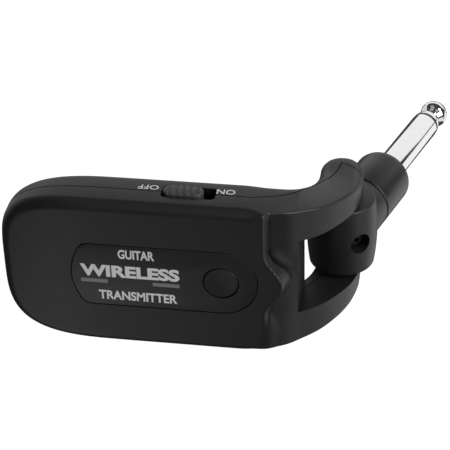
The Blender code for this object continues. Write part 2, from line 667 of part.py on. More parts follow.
# ---- Swivel and plug ----------------------------------------------------------------
def make_swivel(hinge, plug):
    steps = [-1 + step / 5 for step in range(11)]
    side = [(BARREL_END_RADIUS + (BARREL_RADIUS - BARREL_END_RADIUS) * (1 - z * z), -z * (BARREL_HALF - 0.4 * MM))
            for z in steps]
    profile = [(0, BARREL_HALF), (BARREL_END_RADIUS - 0.4 * MM, BARREL_HALF), *side,
               (BARREL_END_RADIUS - 0.4 * MM, -BARREL_HALF), (0, -BARREL_HALF)]
    block = turned("swivel_block", profile, hinge, 48)
    neck = turned("neck", [(0, NECK_END), (NECK_RADIUS - 0.4 * MM, NECK_END),
                           (NECK_RADIUS, NECK_END - 0.4 * MM), (NECK_RADIUS, 0), (0, 0)], plug, 40)
    block = combine(block, "UNION", neck)
    tail_bore = turned("tail_bore", [(0, FAR), (THREAD_RADIUS + FIT_GAP, FAR),
                                     (THREAD_RADIUS + FIT_GAP, 0), (0, 0)], plug, 28)
    pin_bore = rod("pin_bore", PIN_RADIUS + FIT_GAP, (0, 0, -FAR), (0, 0, FAR), hinge, 28)
    outward = Vector((math.cos(SET_SCREW_ANGLE), math.sin(SET_SCREW_ANGLE), 0))
    screw_bore = rod("set_screw_bore", BARREL_BORE / 2, outward * 1.0 * MM, outward * FAR, hinge, 24)
    block = combine(block, "DIFFERENCE", tail_bore, pin_bore, screw_bore)
    finish(block, PLASTIC)

    screw_out, screw_in = BARREL_RADIUS - 1.8 * MM, PIN_RADIUS + FIT_GAP
    screw = rod("set_screw", BARREL_BORE / 2 - FIT_GAP, outward * screw_in, outward * screw_out, hinge, 20)
    socket = rod("hex_socket", 0.9 * MM, outward * (screw_out - 1.4 * MM), outward * FAR, hinge, 6)
    finish(combine(screw, "DIFFERENCE", socket), STEEL)

    pin = rod("hinge_pin", PIN_RADIUS, (0, 0, -PIN_HALF), (0, 0, PIN_HALF), hinge, 28)
    hollow = rod("pin_hollow", PIN_HOLLOW, (0, 0, -1.6 * MM), (0, 0, FAR), hinge, 20)
    toward_plug = Vector((math.cos(PLUG_ANGLE), math.sin(PLUG_ANGLE), 0))
    mouth = rod("pin_mouth", PIN_HOLLOW - 0.2 * MM, (0, 0, 0), toward_plug * FAR, hinge, 20)
    finish(combine(pin, "DIFFERENCE", hollow, mouth), STEEL)

    for name, side_sign in (("upper_washer", 1), ("lower_washer", -1)):
        middle = side_sign * (BARREL_HALF + WASHER_GAP + WASHER_THICKNESS / 2)
        high, low = middle + WASHER_THICKNESS / 2, middle - WASHER_THICKNESS / 2
        ring = [(WASHER_RADIUS, high), (WASHER_RADIUS, low), (PIN_RADIUS + FIT_GAP, low), (PIN_RADIUS + FIT_GAP, high)]
        finish(turned(name, ring, hinge, 32, ring=True), WASHER)

    axis_top = PIN_HALF - 0.2 * MM
    route = [toward_plug * (TAIL_START - 1.6 * MM), toward_plug * 1.6 * MM + Vector((0, 0, 0.1 * MM)),
             toward_plug * 0.3 * MM + Vector((0, 0, 0.9 * MM)), Vector((0, 0, 2.4 * MM)),
             Vector((0, 0, 5.5 * MM)), Vector((0, 0, axis_top))]
    finish(wire("lead_in_swivel", smooth_line([tuple(point) for point in route], 4), LEAD_RADIUS, hinge), BLACK)


def make_plug(plug):
    start = NECK_END + SEAM_GAP
    fillet = arc((NECK_RADIUS - COLLAR_FILLET, SEAT_DISTANCE - COLLAR_FILLET), COLLAR_FILLET,
                 math.pi / 2, 0, 6)
    bore = SLEEVE_RADIUS + FIT_GAP
    seat_back = SEAT_DISTANCE - 3.0 * MM
    collar = [(bore, SEAT_DISTANCE), *fillet, (NECK_RADIUS, start + 0.4 * MM), (NECK_RADIUS - 0.4 * MM, start),
              (THREAD_RADIUS + FIT_GAP, start), (THREAD_RADIUS + FIT_GAP, start + 2.0 * MM),
              (FLANGE_RADIUS + FIT_GAP, start + 2.0 * MM), (FLANGE_RADIUS + FIT_GAP, seat_back),
              (bore, seat_back)]
    finish(turned("plug_collar", collar, plug, 40, ring=True), COLLAR)

    tube = 1.55 * MM
    sleeve_bore = tube + FIT_GAP
    flange_low, flange_high = start + 2.0 * MM + FIT_GAP, seat_back - FIT_GAP
    sleeve = [(sleeve_bore, SLEEVE_END), (SLEEVE_RADIUS, SLEEVE_END), (SLEEVE_RADIUS, flange_high),
              (FLANGE_RADIUS, flange_high), (FLANGE_RADIUS, flange_low), (THREAD_RADIUS, flange_low),
              (THREAD_RADIUS, TAIL_START), (sleeve_bore, TAIL_START)]
    finish(turned("plug_sleeve", sleeve, plug, 36, ring=True), CHROME)

    rod_bore = ROD_RADIUS + FIT_GAP
    ring_low, ring_high = SLEEVE_END + 0.1 * MM, RING_END
    insulator = [(rod_bore, ring_high), (SLEEVE_RADIUS - 0.15 * MM, ring_high),
                 (SLEEVE_RADIUS - 0.15 * MM, ring_low), (tube, ring_low), (tube, TAIL_START + 0.4 * MM),
                 (rod_bore, TAIL_START + 0.4 * MM)]
    finish(turned("plug_insulator", insulator, plug, 32, ring=True), INSULATOR)

    low = RING_END + 0.1 * MM
    neck_height, ball_start = low + 1.6 * MM, low + 2.4 * MM
    tip = [(0, TIP_END), (0.9 * MM, TIP_END - 0.1 * MM), (1.9 * MM, TIP_END - 0.75 * MM),
           (2.65 * MM, TIP_END - 1.8 * MM), (TIP_RADIUS, TIP_END - 3.0 * MM),
           (2.75 * MM, TIP_END - 3.9 * MM), (2.2 * MM, ball_start + 0.3 * MM),
           (1.95 * MM, ball_start - 0.3 * MM), (2.2 * MM, neck_height - 0.2 * MM),
           (SLEEVE_RADIUS - 0.2 * MM, low + 0.5 * MM), (SLEEVE_RADIUS - 0.2 * MM, low),
           (ROD_RADIUS, low), (ROD_RADIUS, TAIL_START - 0.6 * MM), (0, TAIL_START - 0.6 * MM)]
    finish(turned("plug_tip", tip, plug, 32), CHROME)

    lug_start, lug_end = TAIL_START - LUG_DEPTH, TAIL_START - 0.75 * MM
    lug = [(0, lug_end), (1.3 * MM, lug_end), (1.3 * MM, lug_start), (0, lug_start)]
    finish(turned("solder_lug", lug, plug, 16), STEEL)


# ---- Build --------------------------------------------------------------------------
clear_scene()
PARTS = collection("wireless_guitar_transmitter")
CUTTERS = collection("cutters")

PLASTIC = material("black_plastic", (0.021, 0.021, 0.022), 0.55)
COLLAR = material("collar_plastic", (0.026, 0.026, 0.027), 0.45)
BADGE = material("badge_plastic", (0.024, 0.024, 0.025), 0.40)
BUTTON = material("button_plastic", (0.017, 0.017, 0.018), 0.45)
KNOB = material("knob_plastic", (0.050, 0.050, 0.052), 0.50)
CHROME = material("nickel_plate", (0.80, 0.80, 0.80), 0.12, 1.0)
STEEL = material("steel", (0.45, 0.45, 0.46), 0.35, 1.0)
INSULATOR = material("insulator_ring", (0.012, 0.012, 0.012), 0.40)
WASHER = material("friction_washer", (0.020, 0.020, 0.020), 0.45)
BOARD = material("circuit_board", (0.01, 0.12, 0.05), 0.45)
CERAMIC = material("ceramic", (0.75, 0.73, 0.68), 0.50)
POUCH = material("battery_pouch", (0.55, 0.56, 0.58), 0.30, 0.6)
FOAM = material("foam", (0.03, 0.03, 0.03), 0.90)
RED = material("red_wire", (0.45, 0.01, 0.01), 0.45)
BLACK = material("black_wire", (0.012, 0.012, 0.012), 0.45)
CLEAR = material("clear_plastic", (0.70, 0.72, 0.74), 0.20)

DIRECTION = Vector((math.cos(PLUG_ANGLE), math.sin(PLUG_ANGLE), 0))
HINGE = empty("hinge_axis", -SEAT_DISTANCE * DIRECTION)
PLUG_AXIS = empty("plug_axis", (0, 0, 0), (0, math.pi / 2, PLUG_ANGLE), HINGE)
BUTTON_AXIS = empty("button_axis", (BUTTON_X, 0, 0), (math.pi / 2, 0, 0), HINGE)

make_swivel(HINGE, PLUG_AXIS)
make_plug(PLUG_AXIS)
make_shells(HINGE)
make_badge_and_button(HINGE, BUTTON_AXIS)
make_switch(HINGE, HINGE)
make_board(HINGE)
make_battery(HINGE)
make_housing_lead(HINGE)
make_shell_screws(HINGE)
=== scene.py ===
"""Looks of the wireless guitar transmitter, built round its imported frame.

Lengths are in metres.  Outlines are worked out about the hinge axis, where X runs along the
housing toward the fork, Y from the face to the back and Z along the axis, and every mesh is
then moved to the frame's own origin, the seat of the plug.
"""

import json
import logging
import math
from dataclasses import dataclass, field
from enum import Enum

import bmesh
import bpy
from mathutils import Matrix, Vector


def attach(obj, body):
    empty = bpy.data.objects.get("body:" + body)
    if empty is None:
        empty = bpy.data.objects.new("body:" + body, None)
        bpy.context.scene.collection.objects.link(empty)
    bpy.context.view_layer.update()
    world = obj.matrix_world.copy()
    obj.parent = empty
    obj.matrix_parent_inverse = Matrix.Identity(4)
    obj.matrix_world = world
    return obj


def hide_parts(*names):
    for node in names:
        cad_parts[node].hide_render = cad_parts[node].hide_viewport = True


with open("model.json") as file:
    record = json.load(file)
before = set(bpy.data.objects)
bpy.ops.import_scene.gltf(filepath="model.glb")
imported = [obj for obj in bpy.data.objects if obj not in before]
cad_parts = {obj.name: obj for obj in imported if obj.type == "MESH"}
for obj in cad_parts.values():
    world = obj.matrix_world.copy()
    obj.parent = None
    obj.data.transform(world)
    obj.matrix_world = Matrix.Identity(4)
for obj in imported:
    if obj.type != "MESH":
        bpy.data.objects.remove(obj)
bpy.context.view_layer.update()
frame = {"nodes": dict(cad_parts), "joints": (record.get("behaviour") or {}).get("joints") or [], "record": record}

log = logging.getLogger("transmitter")

MM = 0.001
FAR = 40 * MM           # beyond every side, for cutting tools
PIN_BORE = 2.5 * MM     # radius of the hinge pin's hole in the arms and the barrel
HINGE = Vector(next(j for j in frame["joints"] if j["name"] == "plug_fold")["pos_m"])
PLUG_WAY = Vector(next(m for m in frame["record"]["mounts"] if m["name"] == "jack_plug")["axis"])
TO_FRAME = Matrix.Translation(HINGE)


class Body(Enum):
    """The moving bodies of the frame."""

    PLUG = "plug"
    HOUSING = "housing"
    SLIDER = "switch_slider"
    BUTTON = "button"


# ---- Finishes -----------------------------------------------------------------------
@dataclass(frozen=True)
class Finish:
    """A procedural surface: a colour with mottling, and a grain in the bump.

    Attributes:
        name: What the maker calls it.
        colour: Linear base colour.
        roughness: Mean roughness.
        metallic: 1 for metal.
        grain: Height of the surface texture.
        grain_size: Width of one grain.
        mottle: Share by which the colour and the roughness wander.
        mottle_size: Width of one patch of that wandering.
        glow: Share of light let through.
    """

    name: str
    colour: tuple[float, float, float]
    roughness: float
    metallic: float = 0.0
    grain: float = 0.004 * MM
    grain_size: float = 0.12 * MM
    mottle: float = 0.10
    mottle_size: float = 3.0 * MM
    glow: float = 0.0

    def material(self) -> bpy.types.Material:
        """Make the material, or return the one made before.

        Returns:
            The node material.
        """
        made = bpy.data.materials.get("finish_" + self.name)
        if made:
            return made
        made = bpy.data.materials.new("finish_" + self.name)
        made.use_nodes = True
        tree = made.node_tree
        shader = tree.nodes["Principled BSDF"]
        shader.inputs["Metallic"].default_value = self.metallic
        shader.inputs["Transmission Weight"].default_value = self.glow
        place = tree.nodes.new("ShaderNodeTexCoord")

        patches = self._noise(tree, place, self.mottle_size, 3)
        shade = tree.nodes.new("ShaderNodeMapRange")
        shade.inputs["To Min"].default_value = 1 - self.mottle
        shade.inputs["To Max"].default_value = 1 + self.mottle
        tree.links.new(patches.outputs["Fac"], shade.inputs["Value"])
        tint = tree.nodes.new("ShaderNodeVectorMath")
        tint.operation = "SCALE"
        tint.inputs[0].default_value = self.colour
        tree.links.new(shade.outputs["Result"], tint.inputs["Scale"])
        tree.links.new(tint.outputs["Vector"], shader.inputs["Base Color"])
        rough = tree.nodes.new("ShaderNodeMapRange")
        rough.inputs["To Min"].default_value = self.roughness * (1 - self.mottle)
        rough.inputs["To Max"].default_value = min(1.0, self.roughness * (1 + self.mottle))
        tree.links.new(patches.outputs["Fac"], rough.inputs["Value"])
        tree.links.new(rough.outputs["Result"], shader.inputs["Roughness"])

        if self.grain:
            grains = self._noise(tree, place, self.grain_size, 2)
            bump = tree.nodes.new("ShaderNodeBump")
            bump.inputs["Distance"].default_value = self.grain
            tree.links.new(grains.outputs["Fac"], bump.inputs["Height"])
            tree.links.new(bump.outputs["Normal"], shader.inputs["Normal"])
        return made

    @staticmethod
    def _noise(tree: bpy.types.NodeTree, place: bpy.types.Node, size: float,
               detail: int) -> bpy.types.Node:
        """Add a noise texture on the object's own coordinates.

        Args:
            tree: The material's nodes.
            place: The node that gives the place on the surface.
            size: Width of one patch.
            detail: Octaves.

        Returns:
            The noise node.
        """
        noise = tree.nodes.new("ShaderNodeTexNoise")
        noise.inputs["Scale"].default_value = 1 / size
        noise.inputs["Detail"].default_value = detail
        tree.links.new(place.outputs["Object"], noise.inputs["Vector"])
        return noise


SHELL_BLACK = Finish("shell_black", (0.0115, 0.0115, 0.0120), 0.44, grain=0.010 * MM)
COLLAR_BLACK = Finish("collar_black", (0.0150, 0.0150, 0.0155), 0.36, grain=0.004 * MM)
BADGE_BLACK = Finish("badge_black", (0.0130, 0.0130, 0.0135), 0.42, grain=0.008 * MM)
BUTTON_BLACK = Finish("button_black", (0.0110, 0.0110, 0.0115), 0.38, grain=0.006 * MM)
KNOB_GREY = Finish("knob_grey", (0.050, 0.050, 0.052), 0.46, grain=0.006 * MM)
NICKEL = Finish("nickel", (0.86, 0.86, 0.87), 0.10, metallic=1.0, grain=0.0004 * MM,
                mottle=0.06, mottle_size=1.2 * MM)
RING_BLACK = Finish("ring_black", (0.010, 0.010, 0.010), 0.35, grain=0.001 * MM)
SCREW_STEEL = Finish("screw_steel", (0.10, 0.10, 0.105), 0.30, metallic=1.0, grain=0.002 * MM)
SCREW_BLACK = Finish("screw_black", (0.012, 0.012, 0.013), 0.26, grain=0.001 * MM)
BRIGHT_STEEL = Finish("bright_steel", (0.48, 0.48, 0.50), 0.30, metallic=1.0, grain=0.001 * MM)
NYLON = Finish("nylon", (0.020, 0.020, 0.020), 0.45, grain=0.002 * MM)
SOLDER_MASK = Finish("solder_mask", (0.008, 0.09, 0.035), 0.35, mottle=0.25, mottle_size=1 * MM)
CERAMIC = Finish("ceramic", (0.72, 0.70, 0.64), 0.50)
FOIL = Finish("foil", (0.60, 0.61, 0.63), 0.30, metallic=0.7, grain=0.01 * MM, grain_size=1 * MM)
FOAM = Finish("foam", (0.025, 0.025, 0.025), 0.90, grain=0.08 * MM, grain_size=0.4 * MM)
RED_PVC = Finish("red_pvc", (0.42, 0.010, 0.010), 0.40, grain=0.002 * MM)
BLACK_PVC = Finish("black_pvc", (0.012, 0.012, 0.012), 0.40, grain=0.002 * MM)
FROSTED = Finish("frosted", (0.78, 0.80, 0.82), 0.35, glow=0.4)
PRINT_GREY = Finish("print_grey", (0.80, 0.80, 0.80), 0.55, grain=0.001 * MM, mottle=0.05)
PRINT_DIM = Finish("print_dim", (0.22, 0.22, 0.22), 0.55, grain=0.001 * MM, mottle=0.05)
PRINT_WHITE = Finish("print_white", (0.85, 0.85, 0.85), 0.50, grain=0.001 * MM, mottle=0.04)

SLOT_FINISHES: dict[str, Finish] = {
    "black_plastic": SHELL_BLACK, "collar_plastic": COLLAR_BLACK, "badge_plastic": BADGE_BLACK,
    "button_plastic": BUTTON_BLACK, "knob_plastic": KNOB_GREY, "nickel_plate": NICKEL,
    "steel": BRIGHT_STEEL, "insulator_ring": RING_BLACK, "friction_washer": NYLON,
    "circuit_board": SOLDER_MASK, "ceramic": CERAMIC, "battery_pouch": FOIL, "foam": FOAM,
    "red_wire": RED_PVC, "black_wire": BLACK_PVC, "clear_plastic": FROSTED}


# ---- Lines --------------------------------------------------------------------------
Point = tuple[float, float]


def in_mm(*points: Point) -> list[Point]:
    """Turn points given in millimetres into metres."""
    return [(x * MM, y * MM) for x, y in points]


def flowing(points: list[Point], steps: int) -> list[Point]:
    """Run a Catmull-Rom curve through points.

    Args:
        points: The points it passes.
        steps: Pieces between two points.

    Returns:
        The curve's points.
    """
    padded = [points[0], *points, points[-1]]
    line = []
    for a, b, c, d in zip(padded, padded[1:], padded[2:], padded[3:]):
        for step in range(steps):
            t = step / steps
            line.append(tuple(
                0.5 * (2 * q + (r - p) * t + (2 * p - 5 * q + 4 * r - s) * t ** 2
                       + (3 * q - p - 3 * r + s) * t ** 3) for p, q, r, s in zip(a, b, c, d)))
    return line + [points[-1]]


def arc(centre: Point, radius: float, start: float, end: float, steps: int) -> list[Point]:
    """Points along a circle's arc.

    Args:
        centre: Its centre.
        radius: Its radius.
        start: First angle.
        end: Last angle.
        steps: Pieces.

    Returns:
        The arc's points.
    """
    turns = [start + (end - start) * step / steps for step in range(steps + 1)]
    return [(centre[0] + radius * math.cos(t), centre[1] + radius * math.sin(t)) for t in turns]


def ease(low: float, high: float, value: float) -> float:
    """Rise smoothly from 0 at low to 1 at high."""
    share = min(1.0, max(0.0, (value - low) / (high - low)))
    return share * share * (3 - 2 * share)


def bell(*aways: float) -> float:
    """A bump of height 1 that falls off with each distance from its middle."""
    return math.exp(-sum(away * away for away in aways))


def along(table: list[Point], value: float) -> float:
    """Read a table of (place, amount) with straight lines between its rows.

    Args:
        table: Rows in rising order.
        value: The place to read at.

    Returns:
        The amount there.
    """
    for (x0, y0), (x1, y1) in zip(table, table[1:]):
        if value <= x1:
            share = min(1.0, max(0.0, (value - x0) / (x1 - x0)))
            return y0 + (y1 - y0) * share
    return table[-1][1]


def shifted(outline: list[Point], gap: float) -> list[Point]:
    """Move a closed outline sideways, to its right as it runs.

    Args:
        outline: Its points in order.
        gap: How far.

    Returns:
        The moved points.
    """
    moved = []
    for index, (x, y) in enumerate(outline):
        before, after = outline[index - 1], outline[(index + 1) % len(outline)]
        first = Vector((x - before[0], y - before[1])).normalized()
        second = Vector((after[0] - x, after[1] - y)).normalized()
        side = Vector((first.y, -first.x)) + Vector((second.y, -second.x))
        shift = side * (gap / (1 + first.dot(second)))
        moved.append((x + shift.x, y + shift.y))
    return moved


def stadium(centre: Point, length: float, width: float, steps: int = 14) -> list[Point]:
    """A slot's outline with round ends.

    Args:
        centre: Its middle.
        length: End to end.
        width: Across.
        steps: Pieces in each end.

    Returns:
        The outline.
    """
    radius, reach = width / 2, (length - width) / 2
    return (arc((centre[0] + reach, centre[1]), radius, -math.pi / 2, math.pi / 2, steps)
            + arc((centre[0] - reach, centre[1]), radius, math.pi / 2, 3 * math.pi / 2, steps))


def rounded_box(low: Point, high: Point, radius: float, steps: int = 5) -> list[Point]:
    """A rectangle's outline with rounded corners.

    Args:
        low: Lowest corner.
        high: Highest corner.
        radius: Of the corners.
        steps: Pieces in each corner.

    Returns:
        The outline.
    """
    line: list[Point] = []
    corners = [(high[0] - radius, low[1] + radius, -0.5), (high[0] - radius, high[1] - radius, 0.0),
               (low[0] + radius, high[1] - radius, 0.5), (low[0] + radius, low[1] + radius, 1.0)]
    for x, y, turn in corners:
        line += arc((x, y), radius, math.pi * turn, math.pi * (turn + 0.5), steps)
    return line


# ---- Making solids ------------------------------------------------------------------
class Bench:
    """The ways a solid is made and cut."""

    @staticmethod
    def spun(profile: list[Point], steps: int = 96) -> bmesh.types.BMesh:
        """Turn a profile about Z.

        Args:
            profile: (radius, height) points, from the axis round to the axis, or a closed ring.
            steps: Pieces in the turn.

        Returns:
            The turned solid.
        """
        work = bmesh.new()
        verts = [work.verts.new((radius, 0, height)) for radius, height in profile]
        pairs = list(zip(verts, verts[1:]))
        if profile[0][0] > 0:
            pairs.append((verts[-1], verts[0]))
        edges = [work.edges.new(pair) for pair in pairs]
        bmesh.ops.spin(work, geom=verts + edges, cent=(0, 0, 0), axis=(0, 0, 1), dvec=(0, 0, 0),
                       angle=2 * math.pi, steps=steps, use_merge=True, use_duplicate=False)
        bmesh.ops.remove_doubles(work, verts=work.verts, dist=0.0005 * MM)
        bmesh.ops.recalc_face_normals(work, faces=work.faces)
        return work

    @staticmethod
    def plate(outline: list[Point], low: float, high: float, across: str,
              soften: float = 0.0) -> bmesh.types.BMesh:
        """Give a flat outline its thickness.

        Args:
            outline: (x, z) points where across is Y, or (x, y) points where it is Z.
            low: Lowest value along that axis.
            high: Highest value.
            across: The axis of the thickness.
            soften: Radius of both rims.

        Returns:
            The solid.
        """
        work = bmesh.new()
        if across == "Y":
            verts = [work.verts.new((x, low, z)) for x, z in outline]
        else:
            verts = [work.verts.new((x, y, low)) for x, y in outline]
        edges = [work.edges.new(pair) for pair in zip(verts, verts[1:] + verts[:1])]
        bmesh.ops.contextual_create(work, geom=edges)
        lift = Vector((0, high - low, 0)) if across == "Y" else Vector((0, 0, high - low))
        grown = bmesh.ops.extrude_face_region(work, geom=work.faces[:], use_keep_orig=True)
        top = [item for item in grown["geom"] if isinstance(item, bmesh.types.BMVert)]
        bmesh.ops.translate(work, verts=top, vec=lift)
        bmesh.ops.recalc_face_normals(work, faces=work.faces)
        if soften:
            rims = [edge for face in work.faces if len(face.verts) > 4 for edge in face.edges]
            bmesh.ops.bevel(work, geom=list(set(rims)), offset=soften, segments=3, profile=0.5,
                            affect="EDGES", clamp_overlap=True, material=-1)
        return work

    @staticmethod
    def rod(radius: float, start: Vector, end: Vector, sides: int = 48) -> bmesh.types.BMesh:
        """A straight cylinder.

        Args:
            radius: Its radius.
            start: Middle of its first end.
            end: Middle of its other end.
            sides: Flats round it.

        Returns:
            The cylinder.
        """
        start, end = Vector(start), Vector(end)
        work = bmesh.new()
        bmesh.ops.create_cone(work, cap_ends=True, segments=sides, radius1=radius, radius2=radius,
                              depth=(end - start).length)
        turn = Vector((0, 0, 1)).rotation_difference(end - start).to_matrix()
        bmesh.ops.rotate(work, verts=work.verts, matrix=turn)
        bmesh.ops.translate(work, verts=work.verts, vec=(start + end) / 2)
        return work

    @staticmethod
    def block(low: tuple[float, ...], high: tuple[float, ...]) -> bmesh.types.BMesh:
        """A box between two corners."""
        work = bmesh.new()
        bmesh.ops.create_cube(work, size=1)
        low_corner, high_corner = Vector(low), Vector(high)
        bmesh.ops.scale(work, verts=work.verts, vec=high_corner - low_corner)
        bmesh.ops.translate(work, verts=work.verts, vec=(low_corner + high_corner) / 2)
        return work

    @staticmethod
    def moved(work: bmesh.types.BMesh, place: Matrix) -> bmesh.types.BMesh:
        """Move and turn a solid."""
        bmesh.ops.transform(work, matrix=place, verts=work.verts)
        return work

    @staticmethod
    def hold(work: bmesh.types.BMesh, name: str) -> bpy.types.Object:
        """Put a solid into a fresh object.

        Args:
            work: The solid, which is used up.
            name: The object's name.

        Returns:
            The object, linked to the scene.
        """
        mesh = bpy.data.meshes.new(name)
        work.to_mesh(mesh)
        work.free()
        made = bpy.data.objects.new(name, mesh)
        bpy.context.scene.collection.objects.link(made)
        return made

    @classmethod
    def carved(cls, solid: bmesh.types.BMesh, cutters: list[bmesh.types.BMesh],
               operation: str = "DIFFERENCE") -> bmesh.types.BMesh:
        """Cut a solid, or join to it, with each cutter in turn.

        Args:
            solid: What is cut, which is used up.
            cutters: The tools, which are used up.
            operation: The boolean's operation.

        Returns:
            The result.
        """
        target = cls.hold(solid, "carving")
        for cutter in cutters:
            tool = cls.hold(cutter, "tool")
            change = target.modifiers.new("cut", "BOOLEAN")
            change.operation, change.object, change.solver = operation, tool, "MANIFOLD"
            bpy.context.view_layer.update()
            seen = target.evaluated_get(bpy.context.evaluated_depsgraph_get())
            mesh = bpy.data.meshes.new_from_object(seen)
            target.modifiers.clear()
            target.data = mesh
            bpy.data.objects.remove(tool)
        work = bmesh.new()
        work.from_mesh(target.data)
        bpy.data.objects.remove(target)
        bmesh.ops.remove_doubles(work, verts=work.verts, dist=0.001 * MM)
        bmesh.ops.dissolve_degenerate(work, edges=work.edges, dist=0.001 * MM)
        return work


@dataclass
class Piece:
    """One visible piece.

    Attributes:
        name: Its plain name.
        body: The body it moves with.
        finish: Its surface.
        slot: The record's material slot; not used.
        stands_for: CAD nodes it is shown instead of.
        crease: Edges sharper than this, in degrees, are shown sharp.
    """

    name: str
    body: Body
    finish: Finish
    slot: str
    stands_for: tuple[str, ...] = ()
    crease: float = 32.0

    @classmethod
    def fine(cls, node: str, body: Body, finish: Finish, slot: str,
             crease: float = 32.0) -> "Piece":
        """A finer piece that is shown instead of one CAD node and takes its name from it."""
        return cls(node + "_fine", body, finish, slot, (node,), crease)

    def place(self, work: bmesh.types.BMesh) -> bpy.types.Object:
        """Make the piece from a solid about the hinge axis.

        Args:
            work: The solid, which is used up.

        Returns:
            The piece, riding on its body.
        """
        Bench.moved(work, TO_FRAME)
        made = Bench.hold(work, self.name)
        made.data.materials.append(self.finish.material())
        made.data.shade_smooth()
        made.data.set_sharp_from_angle(angle=math.radians(self.crease))
        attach(made, self.body.value)
        if self.stands_for:
            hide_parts(*self.stands_for)
        log.info("%s: %d faces on %s", self.name, len(made.data.polygons), self.body.value)
        return made


# ---- Housing ------------------------------------------------------------------------
Place = tuple[float, float, float]


@dataclass
class Sides:
    """Where the housing's sides and its seam lie, for all that is fitted to them."""

    half_width: float = 17.7 * MM
    face_y: float = -23.5 * MM
    parting_y: float = -17.4 * MM


